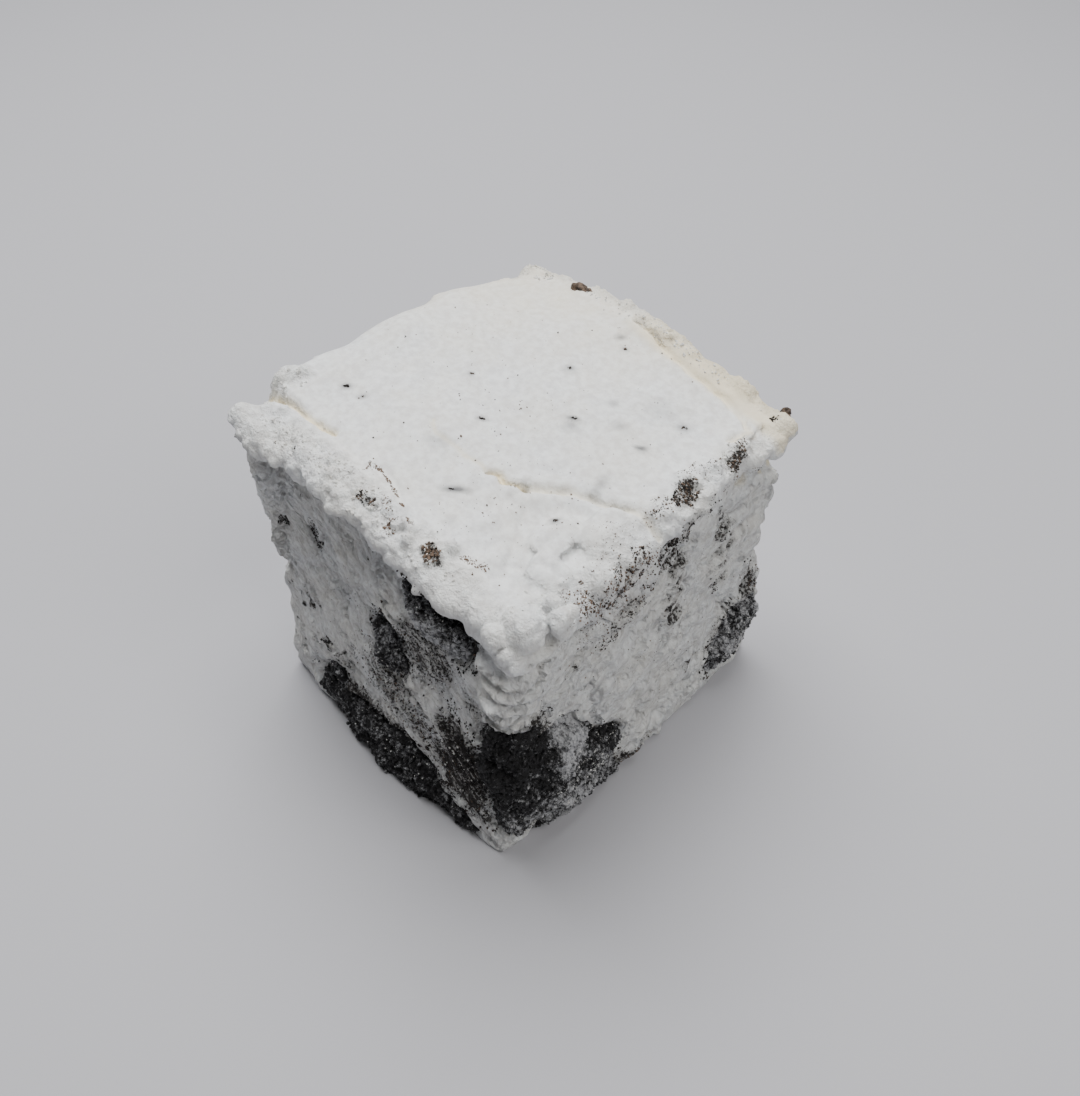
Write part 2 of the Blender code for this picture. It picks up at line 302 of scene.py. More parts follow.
# The crumbly nugget at the near corner, with the shelf under it: middle, radii, lean.
nuggetLumps = [
    ((21.5, -19.6, 39.2), (2.4, 2.4, 2.2), (0, 0, 0)),
    ((20.2, -22.4, 38.7), (1.5, 1.3, 1.8), (0, 12, 0)),
    ((21.8, -22.4, 37.6), (1.1, 1.1, 1.2), (0, 0, 0)),
    ((23.4, -17.0, 39.9), (1.4, 1.4, 1.3), (0, 0, 0)),
    ((23.8, -15.4, 40.1), (0.8, 0.9, 0.7), (0, 0, 0)),
    ((24.0, -16.9, 38.7), (0.9, 0.9, 1.0), (0, 0, 0)),
    ((22.2, -16.6, 40.9), (1.0, 1.0, 0.8), (0, 0, 0)),
    ((21.7, -20.6, 35.6), (1.9, 1.9, 0.6), (0, 12, 0)),
    ((22.6, -18.8, 36.4), (1.6, 2.4, 0.7), (14, 6, 0)),
    ((23.2, -16.2, 37.3), (1.2, 1.9, 0.7), (26, 0, 0)),
]

# Broad swells that the skin runs over: middle, radii, lean.
foamSwells = [
    ((-21.4, -10.5, 43.1), (2.6, 6.5, 1.9), (0, 0, 0)),
    ((-21.6, -1.0, 42.6), (2.5, 6.5, 1.6), (0, 0, 0)),
    ((-21.6, 8.0, 42.2), (2.3, 6.0, 1.3), (0, 0, 0)),
]

# Small crumbs of foam stuck on the lip: how many, and over what stretch of each side.
rimCrumbs = {
    "front": {"count": 760, "from": -21.0, "to": 11.0, "inset": 4.6},
    "right": {"count": 420, "from": 0.0, "to": 23.0, "inset": 3.2},
    "back": {"count": 160, "from": -22.0, "to": 20.0, "inset": 1.8},
    "left": {"count": 60, "from": -18.5, "to": -13.6, "inset": 2.2},
    "nugget": {"count": 30, "from": -22.0, "to": -12.0, "inset": 1.0},
    "radius": (0.24, 0.74),
    "outward": 0.8,  # mm past the edge of the skin
    "onTop": 0.62,
    "drop": (0.4, 3.2),  # mm under the edge, for those that hang on the side
    "sink": 0.35,
    "clump": {"size": 2.6, "least": -0.08},
}

# Creases of the skin, in plan: the line, its depth, half width, how far the near side stands up, cream tint.
skinCreases = [
    {"line": [(-22.3, -18.9), (-17.1, -18.0), (-14.0, -18.1), (-11.0, -17.6)],
     "depth": 0.75, "width": 0.34, "step": 0.25, "tint": 0.9},
    {"line": [(-11.0, -17.6), (-7.5, -18.2), (-4.7, -18.7), (-2.8, -17.3), (0.2, -17.9), (1.8, -18.9),
              (5.5, -20.1), (7.8, -21.0)], "depth": 0.3, "width": 0.34, "step": 0.08, "tint": 0.0},
    {"line": [(5.0, -9.2), (5.9, -8.6), (7.0, -9.1), (8.2, -8.6), (9.4, -8.1)],
     "depth": 0.85, "width": 0.36, "step": 0.16, "tint": 1.0},
    {"line": [(9.4, -8.1), (10.4, -6.6), (12.2, -4.9), (14.0, -3.7), (16.1, -3.1), (18.2, -2.0), (20.3, -1.3),
              (22.6, -1.3)], "depth": 0.62, "width": 0.4, "step": 0.4, "tint": 0.35},
    {"line": [(-4.8, -8.7), (-3.1, -9.7), (-0.7, -9.4), (1.6, -9.6), (5.0, -9.2)],
     "depth": 0.16, "width": 0.28, "step": 0.0, "tint": 0.4},
    {"line": [(4.4, -1.0), (5.6, -3.2), (8.7, -6.0), (10.2, -8.4), (12.2, -11.2), (13.5, -13.5),
              (15.0, -15.8), (15.3, -18.0)], "depth": 0.12, "width": 0.3, "step": 0.05, "tint": 0.0},
    {"line": [(1.5, 9.8), (3.9, 10.5), (7.4, 12.9), (12.0, 14.7), (15.0, 16.0)],
     "depth": -0.14, "width": 0.5, "step": 0.0, "tint": 0.0},
    {"line": [(-1.5, 21.3), (3.6, 20.4), (8.4, 19.8), (12.1, 19.9), (14.5, 19.6), (17.6, 18.8), (19.4, 17.6),
              (19.0, 14.6)], "depth": 0.6, "width": 0.42, "step": 0.3, "tint": 0.5},
    {"line": [(7.6, -21.4), (8.8, -18.6), (7.6, -16.9)],
     "depth": 0.4, "width": 0.5, "step": 0.1, "tint": 0.0},
    {"line": [(15.0, -15.8), (18.0, -13.6), (20.0, -12.9)],
     "depth": 0.25, "width": 0.4, "step": 0.1, "tint": 0.0},
]

skinHalf = (22.4, 23.6)  # half width and half length of the skin, mm

# How far in from each edge the crumbly lip is whole, and where it ends, mm.
lipBand = {
    "front": (3.2, 5.4),
    "back": (1.0, 2.6),
    "right": (1.6, 3.4),
    "left": (1.5, 3.0),
    "leftSmooth": (-14.0, -12.0, 17.0, 19.5),  # the left edge is smooth between its two rough ends
    "bottom": {"height": 37.6, "fall": 0.055, "rightDrop": 2.4},
}


def sideWeights(normals):
    # how much each cut side owns a point
    weights = {
        "front": np.clip(-normals[:, 1], 0.0, 1.0) ** 2,
        "back": np.clip(normals[:, 1], 0.0, 1.0) ** 2,
        "right": np.clip(normals[:, 0], 0.0, 1.0) ** 2,
        "left": np.clip(-normals[:, 0], 0.0, 1.0) ** 2,
    }
    total = sum(weights.values()) + 1e-6
    return {side: weight / total for side, weight in weights.items()}


def layerPlaces(places, side):
    # distance along and across the torn layers of one side, and into it, mm
    slope = math.radians(foamBlock["layers"][side]["slope"])
    run, deep = (places[:, 0], places[:, 1]) if side in ("front", "back") else (places[:, 1], places[:, 0])
    along = run * math.cos(slope) + places[:, 2] * math.sin(slope)
    across = places[:, 2] * math.cos(slope) - run * math.sin(slope)
    return along, across, deep


def strata(places, side, seed):
    # overlapping scales with their lower edge lifted, over broader puffs, as a height in mm
    layer = foamBlock["layers"][side]
    along, across, deep = layerPlaces(places, side)
    across = across + softNoise(places, 4.5, seed + 9) * 0.9 + softNoise(places, 1.6, seed + 12) * 0.25
    wide = np.stack((along / layer["length"], across / layer["gap"] / 1.6, deep / 2.5), axis=1)
    scale = 1.0 - (across / layer["gap"] + softNoise(wide, 1.0, seed) * 1.7) % 1.0
    broken = smoothStep(-0.3, 0.3, softNoise(wide * 0.9, 1.0, seed + 3))
    stretched = np.stack((along * layer["gap"] / layer["length"], across, deep * 0.8), axis=1)
    bent = stretched + softNoise(places, 1.4, seed + 6)[:, None] * 0.3
    puff = cellNoise(bent, layer["gap"] * 1.15, seed + 5)
    uneven = 0.55 + 0.9 * smoothStep(-0.4, 0.5, softNoise(places, 4.0, seed + 7))
    return ((scale - 0.5) * broken * layer["height"] + (puff - 0.72) * layer["puff"]) * uneven


def rimShare(places, normals):
    # 1 on the crumbly lip, 0 on the smooth skin and on the cut sides
    x, y, height = places[:, 0], places[:, 1], places[:, 2]
    inward = {"front": skinHalf[1] + y, "back": skinHalf[1] - y,
              "right": skinHalf[0] - x, "left": skinHalf[0] + x}
    start, stop, again, whole = lipBand["leftSmooth"]
    leftRough = np.maximum(1.0 - smoothStep(start, stop, y), smoothStep(again, whole, y))
    near = np.zeros(len(places))
    for side, depth in inward.items():
        share = 1.0 - smoothStep(*lipBand[side], depth)
        near = np.maximum(near, share * leftRough if side == "left" else share)
    bottom = lipBand["bottom"]
    lowest = bottom["height"] - bottom["fall"] * x - bottom["rightDrop"] * smoothStep(0.0, 20.0, x)
    return near * smoothStep(-1.5, 1.0, height - lowest)


def buildFoam():
    voxel = foamBlock["voxel"]
    joined = nodeCopy("marshmallow")
    for name in cookieNames:
        # the pockets are filled first, and the lumps of cookie are pressed in again later
        lump = nodeCopy(name, foamBlock["pocketFill"])
        for vertex in lump.verts:
            vertex.co.z = max(vertex.co.z, cadLow.z)
        filler = bpy.data.meshes.new("filler")
        lump.to_mesh(filler)
        lump.free()
        joined.from_mesh(filler)
        bpy.data.meshes.remove(filler)
    rough = foamBlock["lumpRoughness"]
    addLumps(joined, foamSwells, rough["swells"], 4)
    body = evenSkin(meshObject("foam body", joined), voxel, foamBlock["bodySmoothing"])
    print("foam body", len(body.data.vertices), "points")

    tree = treeOf(body)
    joined = bmesh.new()
    joined.from_mesh(body.data)
    bpy.data.objects.remove(body)
    addLumps(joined, foamLumps + nuggetLumps, rough["lobes"], 4)
    addLumps(joined, rimCrumbLumps(tree), rough["crumbs"], 2)
    block = evenSkin(meshObject("marshmallowFoam", joined), voxel, foamBlock["lumpSmoothing"])
    print("foam with lumps", len(block.data.vertices), "points")
    carveFoam(block)
    thinOut(block, foamBlock["mostFaces"], foamBlock["baseDepth"])
    flattenBase(block)
    print("foam block", len(block.data.polygons), "faces")
    return block


# The lip of the right side is reached along a slanting line: where its edge is, how far off the line starts.
lipEdge = {"x": 22.5, "z": 38.5, "away": 40.0, "slant": 0.707}


def castOn(tree, side, a, b):
    # where a straight line from outside meets the block: top takes x, y; a side takes its run and height;
    # rightEdge comes slanting down on the lip, and takes y and how far up over the lip it lands
    up = b * lipEdge["slant"]
    rays = {
        "top": ((a, b, 80.0), (0.0, 0.0, -1.0)),
        "front": ((a, -80.0, b), (0.0, 1.0, 0.0)),
        "back": ((a, 80.0, b), (0.0, -1.0, 0.0)),
        "right": ((80.0, a, b), (-1.0, 0.0, 0.0)),
        "left": ((-80.0, a, b), (1.0, 0.0, 0.0)),
        "rightEdge": ((lipEdge["x"] + lipEdge["away"] - up, a, lipEdge["z"] + lipEdge["away"] + up),
                      (-lipEdge["slant"], 0.0, -lipEdge["slant"])),
    }
    start, way = rays[side]
    place, normal, _, _ = tree.ray_cast(Vector(start) + Vector(origin), Vector(way))
    if place is None:
        return None, None
    return place - Vector(origin), normal


def rimCrumbLumps(tree):
    draw = random.Random(11)
    lumps = []
    smallest, largest = rimCrumbs["radius"]
    clump = rimCrumbs["clump"]
    for side in ("front", "right", "back", "left", "nugget"):
        stretch = rimCrumbs[side]
        face = "right" if side == "nugget" else side
        for _ in range(stretch["count"]):
            run = draw.uniform(stretch["from"], stretch["to"])
            inset = draw.uniform(-rimCrumbs["outward"], stretch["inset"])
            radius = smallest + (largest - smallest) * draw.random() ** 2.6
            onTop = draw.random() < rimCrumbs["onTop"]
            if face in ("front", "back"):
                edge = -skinHalf[1] + inset if face == "front" else skinHalf[1] - inset
                x, y = run, edge
            else:
                x, y = (skinHalf[0] - inset) * (-1.0 if face == "left" else 1.0), run
            place, normal = castOn(tree, "top", x, y)
            # crumbs gather in clumps
            if place is None or place.z < 30.0 or noise.noise(place / clump["size"]) < clump["least"]:
                continue
            if not onTop:
                place, normal = castOn(tree, face, run, place.z - draw.uniform(*rimCrumbs["drop"]))
                if place is None:
                    continue
            spot = place + normal * radius * draw.uniform(-rimCrumbs["sink"], rimCrumbs["sink"])
            spread = [radius * draw.uniform(0.75, 1.25) for _ in range(3)]
            lumps.append((spot, spread, (0, 0, draw.uniform(0, 180))))
    return lumps


def lumpCreases(places, lumps):
    # a groove where neighbouring lumps meet, and a fainter one round the whole group
    scaled = [(places - middle) / np.array(radii) for middle, radii, _ in lumps]
    reach = np.stack([np.linalg.norm(away, axis=1) for away in scaled])
    ordered = np.sort(reach, axis=0)
    between = np.exp(-(((ordered[1] - ordered[0]) / 0.09) ** 2)) * (1.0 - smoothStep(1.15, 1.5, ordered[0]))
    around = np.exp(-(((ordered[0] - 1.22) / 0.09) ** 2)) * 0.7
    return np.maximum(between, around)


def cookieDistance(places):
    # how far each place is from the nearest lump of cookie, mm
    joined = bmesh.new()
    for name in cookieNames:
        joined.from_mesh(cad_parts[name].data)
        if name in cookieLumps["lobes"]:
            addLumps(joined, cookieLumps["lobes"][name], 0.0, 2)
    joined.transform(Matrix.Scale(1.0 / mm, 4))
    tree = BVHTree.FromBMesh(joined)
    joined.free()
    away = np.full(len(places), 9.0)
    for index, place in enumerate((places + origin).tolist()):
        found = tree.find_nearest(place, 2.5)
        if found[3] is not None:
            away[index] = found[3]
    return away


def reliefOf(name, places, seed):
    wave = foamBlock[name]
    return softNoise(places, wave["size"], seed) * wave["height"]


def liftHorn(places):
    # the horn curls up, so its underside rises while its top stays
    horn = foamBlock["horn"]
    out = (1.0 - smoothStep(*horn["x"], places[:, 0])) * (1.0 - smoothStep(*horn["y"], places[:, 1]))
    low = smoothStep(*horn["foot"], places[:, 2]) * (1.0 - smoothStep(*horn["top"], places[:, 2]))
    places[:, 2] += horn["lift"] * out * low


def carveFoam(block):
    places, _ = readPlaces(block.data)
    liftHorn(places)
    writePlaces(block.data, places)
    places, normals = readPlaces(block.data)
    height = places[:, 2]
    rim = rimShare(places, normals)
    skin = smoothStep(0.45, 0.8, normals[:, 2]) * smoothStep(33.0, 36.0, height) * (1.0 - rim)
    cut = (1.0 - skin) * (1.0 - rim) * smoothStep(0.0, 1.5, height)

    push = np.zeros(len(places))
    weights = sideWeights(normals)
    for seed, (side, weight) in enumerate(weights.items()):
        at = np.nonzero(weight * cut > 0.02)[0]
        push[at] += weight[at] * cut[at] * strata(places[at], side, seed + 1)

    at = np.nonzero(cut > 0.02)[0]
    pits = smoothStep(0.3, 0.7, softNoise(places[at], foamBlock["pitSize"], 21))
    swells = reliefOf("swell", places[at], 22) + reliefOf("ripple", places[at], 25)
    push[at] += cut[at] * (swells - pits * foamBlock["pitDepth"])

    at = np.nonzero(rim > 0.02)[0]
    near = places[at]
    folded = smoothStep(8.0, 12.0, near[:, 0]) * (1.0 - smoothStep(-2.0, 1.0, near[:, 1]))
    crumbly = smoothStep(-0.3, 0.3, softNoise(near, 4.0, 24)) * (1.0 - 0.7 * folded)
    crust = (cellNoise(near, foamBlock["crustSize"], 1) - 0.6) * crumbly
    fine = (cellNoise(near, foamBlock["crustSize"] * 0.5, 2) - 0.6) * (0.25 + 0.75 * crumbly)
    folds = softNoise(near, foamBlock["foldSize"], 23) * foamBlock["foldHeight"]
    push[at] += rim[at] * (folds + (crust + fine * 0.5) * foamBlock["crustHeight"])

    at = np.nonzero(skin > 0.02)[0]
    push[at] += skin[at] * reliefOf("skinWave", places[at], 31)
    push[at] += skin[at] * reliefOf("skinRipple", places[at], 32)
    towardCorner = smoothStep(2.0, 14.0, places[at, 0]) * (1.0 - smoothStep(-12.0, -3.0, places[at, 1]))
    wrinkle = foamBlock["skinWrinkle"]
    wrinkles = np.abs(softNoise(places[at] * (1.0, 0.6, 1.0), wrinkle["size"], 33)) - 0.2
    push[at] += skin[at] * towardCorner * wrinkle["height"] * wrinkles
    x, y, z = foamBlock["nearCorner"]
    corner = np.nonzero((places[:, 0] > x) & (places[:, 1] < y) & (places[:, 2] > z))[0]
    push[corner] *= 0.5
    push[corner] -= lumpCreases(places[corner], nuggetLumps) * foamBlock["creaseBetweenLumps"]
    push[corner] += 0.16 * softNoise(places[corner], 0.8, 51) + 0.16 * softNoise(places[corner], 1.7, 52)
    close = 1.0 - smoothStep(0.45, 1.3, cookieDistance(places))
    push = push * (1.0 - close) - close * foamBlock["pressedIn"]
    places = places + normals * push[:, None]

    # creases pull the skin down along their line, and lift it on their near side
    above = np.nonzero((normals[:, 2] > 0.1) & (places[:, 2] > 34.0))[0]
    top = places[above]
    wobble = np.stack((softNoise(top, 1.6, 41), softNoise(top, 1.6, 42)), axis=1) * 0.3
    wandered = top[:, :2] + wobble
    uneven = 0.9 + 0.7 * softNoise(top, 2.4, 43)
    for crease in skinCreases:
        away = lineDistance(wandered, crease["line"])
        dip = crease["depth"] * np.exp(-((away / crease["width"]) ** 2))
        shoulder = crease["step"] * np.exp(-(((away - 1.1) / 0.9) ** 2))
        top[:, 2] += (shoulder - dip) * uneven
    places[above] = top
    places[:, 2] = np.maximum(places[:, 2], 0.0)
    writePlaces(block.data, places)


def flattenBase(block):
    places, _ = readPlaces(block.data)
    places[:, 2] = np.where(places[:, 2] < foamBlock["flatBelow"], 0.0, places[:, 2])
    writePlaces(block.data, places)


# Where crushed cookie is smeared on the foam: side, middle, half sizes, turn, how dense.
smears = [
    ("front", (9.0, 27.0), (7.0, 8.0), -50.0, 0.72),
    ("front", (12.6, 34.4), (7.5, 5.0), -30.0, 0.95),
    ("front", (2.6, 23.4), (4.4, 6.6), 12.0, 0.92),
    ("front", (4.0, 15.0), (11.0, 5.2), -38.0, 0.66),
    ("front", (15.6, 14.0), (9.0, 5.4), -58.0, 1.0),
    ("front", (14.0, 9.0), (9.0, 5.0), -42.0, 0.92),
    ("front", (1.0, 4.6), (18.0, 6.5), -7.0, 0.95),
    ("front", (-11.0, 12.8), (1.6, 1.3), 0.0, 0.7),
    ("front", (-17.4, 29.0), (1.2, 1.3), 0.0, 0.75),
    ("front", (-11.6, 30.5), (1.6, 2.6), 20.0, 0.75),
    ("front", (-5.0, 15.5), (1.4, 1.8), 0.0, 0.55),
    ("front", (-2.5, 18.6), (1.0, 1.2), 0.0, 0.5),
    ("front", (17.6, 33.0), (1.5, 1.2), 0.0, 0.6),
    ("front", (17.0, 24.0), (3.2, 6.0), 20.0, 0.6),
    ("right", (-15.6, 9.6), (15.5, 9.4), -52.0, 1.0),
    ("right", (-19.0, 22.0), (4.4, 6.0), 0.0, 0.72),
    ("right", (-7.0, 4.2), (4.0, 3.6), 0.0, 0.8),
    ("rightEdge", (-8.6, -1.6), (8.0, 3.8), 16.0, 0.52),
    ("rightEdge", (-4.6, -5.8), (5.4, 3.0), 24.0, 0.54),
    ("rightEdge", (3.4, -1.6), (4.6, 3.4), 30.0, 0.66),
    ("rightEdge", (10.0, 0.0), (6.0, 1.8), 10.0, 0.42),
    ("right", (-12.4, 27.6), (3.4, 3.0), 20.0, 0.5),
    ("right", (5.6, 30.6), (3.4, 2.8), 0.0, 0.5),
    ("right", (18.4, 7.8), (8.0, 5.4), 42.0, 0.95),
    ("right", (21.5, 14.5), (2.6, 6.4), 10.0, 0.75),
    ("right", (12.6, 21.0), (1.2, 3.0), 20.0, 0.5),
    ("right", (9.5, 9.5), (2.6, 2.0), 30.0, 0.6),
    ("right", (-2.6, 1.6), (5.4, 2.2), 0.0, 0.75),
    ("top", (9.7, -21.2), (2.6, 1.4), 0.0, 0.66),
    ("top", (-0.6, -21.5), (1.7, 1.4), 0.0, 0.6),
    ("top", (21.0, 4.7), (1.8, 3.0), 0.0, 0.72),
    ("top", (21.0, 13.4), (1.4, 2.6), 0.0, 0.72),
    ("top", (20.4, 9.0), (2.4, 9.0), 0.0, 0.36),
]

crumbFineness = {
    "number": 1.7,
    "size": 0.8,
    "clump": {"size": 1.3, "least": -0.12},
    "sink": (-0.25, 0.45),
    "toneSpread": (-0.35, 0.3),
}

# Loose crumbs: side, middle, half sizes, turn, number, radii, brownness.
crumbPatches = [
    ("front", (11.4, 34.2), (7.6, 4.6), -28.0, 620, (0.07, 0.32), 0.1),
    ("front", (2.4, 23.0), (3.8, 6.2), 14.0, 420, (0.07, 0.3), 0.12),
    ("front", (6.8, 27.0), (6.0, 6.6), -50.0, 380, (0.06, 0.2), 0.3),
    ("front", (4.0, 14.0), (10.5, 5.2), -38.0, 560, (0.06, 0.18), 0.55),
    ("front", (16.0, 15.0), (8.0, 4.2), -60.0, 620, (0.07, 0.28), 0.15),
    ("front", (13.6, 9.0), (8.2, 5.0), -42.0, 620, (0.07, 0.28), 0.25),
    ("front", (1.0, 4.4), (17.0, 4.8), -7.0, 800, (0.07, 0.3), 0.08),
    ("front", (-11.0, 12.8), (1.4, 1.2), 0.0, 60, (0.07, 0.24), 0.15),
    ("front", (-17.4, 29.0), (1.1, 1.1), 0.0, 44, (0.07, 0.24), 0.15),
    ("front", (-11.6, 30.5), (1.4, 2.4), 20.0, 100, (0.07, 0.22), 0.15),
    ("front", (-14.0, 35.5), (0.7, 0.6), 0.0, 8, (0.1, 0.2), 0.2),
    ("front", (-5.0, 15.5), (1.2, 1.6), 0.0, 22, (0.07, 0.18), 0.4),
    ("front", (17.6, 33.2), (1.3, 1.0), 0.0, 30, (0.08, 0.2), 0.5),
    ("right", (-14.8, 9.6), (15.0, 8.6), -52.0, 1100, (0.07, 0.32), 0.08),
    ("right", (-19.6, 22.0), (3.6, 5.0), 0.0, 240, (0.06, 0.24), 0.15),
    ("right", (-7.4, 4.6), (3.6, 3.4), 0.0, 240, (0.06, 0.24), 0.2),
    ("rightEdge", (-13.0, -0.4), (2.86, 2.03), 10.0, 94, (0.07, 0.2), 0.75),
    ("rightEdge", (-12.4, -1.6), (2.08, 1.35), 10.0, 68, (0.07, 0.22), 0.6),
    ("rightEdge", (-9.6, -1.4), (3.12, 2.03), 20.0, 162, (0.07, 0.22), 0.6),
    ("rightEdge", (-8.6, -3.0), (2.08, 1.35), 20.0, 60, (0.07, 0.22), 0.5),
    ("rightEdge", (-6.2, -0.4), (2.86, 2.29), 24.0, 204, (0.07, 0.24), 0.45),
    ("rightEdge", (-5.0, -2.4), (2.08, 1.62), 24.0, 76, (0.07, 0.2), 0.5),
    ("rightEdge", (-3.4, -0.6), (2.08, 1.62), 20.0, 85, (0.07, 0.2), 0.6),
    ("rightEdge", (-8.0, -6.6), (1.56, 1.49), 20.0, 42, (0.07, 0.24), 0.4),
    ("rightEdge", (-5.4, -6.4), (1.82, 1.76), 20.0, 94, (0.07, 0.26), 0.3),
    ("rightEdge", (-2.2, -5.2), (2.34, 1.62), 20.0, 76, (0.07, 0.24), 0.4),
    ("rightEdge", (0.6, -3.2), (2.60, 2.03), 30.0, 102, (0.07, 0.24), 0.35),
    ("rightEdge", (3.4, -1.8), (2.60, 2.56), 30.0, 196, (0.07, 0.26), 0.2),
    ("rightEdge", (5.6, -0.6), (2.86, 1.89), 30.0, 110, (0.07, 0.24), 0.3),
    ("rightEdge", (-5.0, -3.4), (11.70, 4.86), 14.0, 170, (0.05, 0.15), 0.65),
    ("right", (-6.4, 32.8), (7.6, 3.4), 24.0, 260, (0.06, 0.18), 0.65),
    ("right", (9.0, 38.0), (5.0, 1.4), 0.0, 170, (0.07, 0.22), 0.5),
    ("right", (15.0, 37.6), (4.0, 1.4), 0.0, 130, (0.07, 0.22), 0.5),
    ("right", (18.4, 7.8), (7.6, 4.8), 42.0, 620, (0.07, 0.28), 0.12),
    ("right", (21.5, 14.5), (2.2, 5.8), 10.0, 190, (0.06, 0.22), 0.4),
    ("right", (12.6, 21.0), (1.0, 2.8), 20.0, 50, (0.06, 0.2), 0.4),
    ("right", (9.5, 9.5), (2.2, 1.6), 20.0, 50, (0.06, 0.18), 0.5),
    ("right", (-2.6, 1.4), (5.0, 1.6), 0.0, 170, (0.06, 0.2), 0.6),
    ("right", (0.0, 20.0), (21.0, 16.0), 0.0, 420, (0.05, 0.14), 0.7),
    ("front", (4.0, 20.0), (14.0, 14.0), 0.0, 240, (0.05, 0.14), 0.6),
    ("top", (9.7, -21.2), (1.9, 0.9), 0.0, 150, (0.1, 0.34), 0.6),
    ("top", (12.9, -18.4), (1.8, 0.6), 20.0, 60, (0.07, 0.2), 0.9),
    ("top", (-0.6, -21.5), (1.2, 1.0), 0.0, 100, (0.1, 0.28), 0.45),
    ("top", (3.9, -21.8), (0.9, 1.1), 30.0, 50, (0.08, 0.24), 0.65),
    ("top", (-4.4, -18.4), (0.3, 0.9), 20.0, 44, (0.06, 0.15), 1.0),
    ("top", (-3.4, -17.6), (1.0, 0.26), 5.0, 60, (0.06, 0.17), 0.9),
    ("top", (-1.6, -17.9), (1.1, 0.24), -15.0, 60, (0.06, 0.17), 0.95),
    ("top", (0.6, -18.5), (1.4, 0.26), -17.0, 60, (0.06, 0.16), 1.0),
    ("top", (2.9, -19.3), (1.4, 0.28), -20.0, 70, (0.06, 0.18), 0.95),
    ("top", (4.9, -20.2), (1.2, 0.28), -30.0, 50, (0.06, 0.17), 0.95),
    ("top", (-2.4, -19.8), (0.6, 0.4), 0.0, 24, (0.06, 0.15), 0.9),
    ("top", (1.8, -20.6), (1.8, 0.5), -28.0, 44, (0.06, 0.16), 0.9),
    ("top", (21.2, 4.7), (1.1, 2.4), 0.0, 210, (0.08, 0.27), 0.45),
    ("top", (21.2, 13.4), (0.9, 1.8), 0.0, 130, (0.08, 0.25), 0.45),
    ("top", (20.0, 15.6), (0.8, 1.4), 20.0, 60, (0.07, 0.2), 0.6),
    ("top", (20.2, 9.0), (1.6, 7.0), 0.0, 120, (0.06, 0.17), 0.65),
    ("top", (19.6, 21.9), (0.5, 0.6), 0.0, 14, (0.12, 0.28), 0.3),
    ("top", (20.8, 0.8), (1.2, 2.4), 0.0, 90, (0.07, 0.2), 0.55),
    ("top", (21.6, -12.4), (1.2, 2.4), 0.0, 110, (0.07, 0.2), 0.75),
    ("top", (20.4, -7.0), (2.4, 5.0), 0.0, 90, (0.05, 0.13), 0.75),
    ("top", (-12.0, -22.4), (0.5, 0.3), 0.0, 6, (0.1, 0.22), 0.4),
    ("top", (-15.0, -22.8), (0.4, 0.3), 0.0, 4, (0.1, 0.2), 0.4),
    ("top", (0.0, 0.0), (21.0, 22.0), 0.0, 190, (0.07, 0.19), 0.6),
    ("top", (10.0, -12.0), (9.0, 9.0), 0.0, 60, (0.07, 0.18), 0.7),
    ("top", (-16.3, -12.0), (0.32, 0.2), 40.0, 13, (0.11, 0.24), 0.2),
    ("top", (4.4, -13.5), (0.8, 0.2), 38.0, 30, (0.1, 0.2), 0.2),
    ("top", (-1.4, -4.4), (0.34, 0.16), 30.0, 11, (0.1, 0.2), 0.3),
    ("top", (5.4, 3.2), (0.44, 0.2), 30.0, 12, (0.1, 0.22), 0.4),
    ("top", (13.4, 5.8), (0.38, 0.2), 40.0, 12, (0.1, 0.22), 0.3),
    ("top", (14.6, -8.6), (0.3, 0.24), 20.0, 10, (0.1, 0.22), 0.2),
    ("top", (-7.9, -0.2), (0.24, 0.18), 0.0, 6, (0.09, 0.2), 0.4),
    ("top", (0.9, 16.6), (0.26, 0.18), 0.0, 7, (0.1, 0.22), 0.5),
    ("top", (-1.0, 17.8), (0.36, 0.24), 0.0, 10, (0.1, 0.22), 0.4),
    ("top", (14.2, 12.1), (0.42, 0.28), 40.0, 11, (0.1, 0.22), 0.5),
    ("top", (-0.8, 8.9), (0.34, 0.22), 40.0, 7, (0.09, 0.2), 0.4),
    ("top", (-13.5, -11.8), (0.3, 0.2), 40.0, 5, (0.09, 0.2), 0.6),
]

# White bits of foam rubbed off onto the cookie and the lip, laid out the same way.
foamBits = [
    ("right", (-10.5, 8.0), (5.5, 7.0), -40.0, 260, (0.04, 0.2), 0.0),
    ("right", (-16.0, 10.0), (6.0, 10.0), -20.0, 90, (0.04, 0.12), 0.0),
    ("right", (18.4, 7.8), (5.5, 3.4), 42.0, 110, (0.04, 0.16), 0.0),
    ("front", (10.8, 34.4), (6.0, 3.4), -28.0, 90, (0.04, 0.13), 0.0),
    ("front", (2.4, 23.0), (2.8, 5.0), 14.0, 50, (0.04, 0.13), 0.0),
    ("front", (1.0, 5.4), (15.0, 3.8), -7.0, 130, (0.04, 0.16), 0.0),
    ("front", (14.5, 12.0), (7.0, 4.0), -58.0, 100, (0.05, 0.2), 0.0),
    ("top", (-3.0, -21.6), (17.0, 2.0), 0.0, 300, (0.1, 0.34), 0.0),
    ("top", (20.8, -17.4), (2.6, 3.4), 0.0, 60, (0.09, 0.28), 0.0),
    ("top", (-21.0, -17.0), (1.6, 3.4), 0.0, 50, (0.09, 0.3), 0.0),
    ("top", (-19.0, 21.6), (3.4, 1.4), 0.0, 70, (0.09, 0.34), 0.0),
    ("top", (3.0, 21.8), (15.0, 1.2), 0.0, 90, (0.09, 0.3), 0.0),
    ("top", (20.6, 12.0), (1.8, 11.0), 0.0, 80, (0.09, 0.3), 0.0),
]

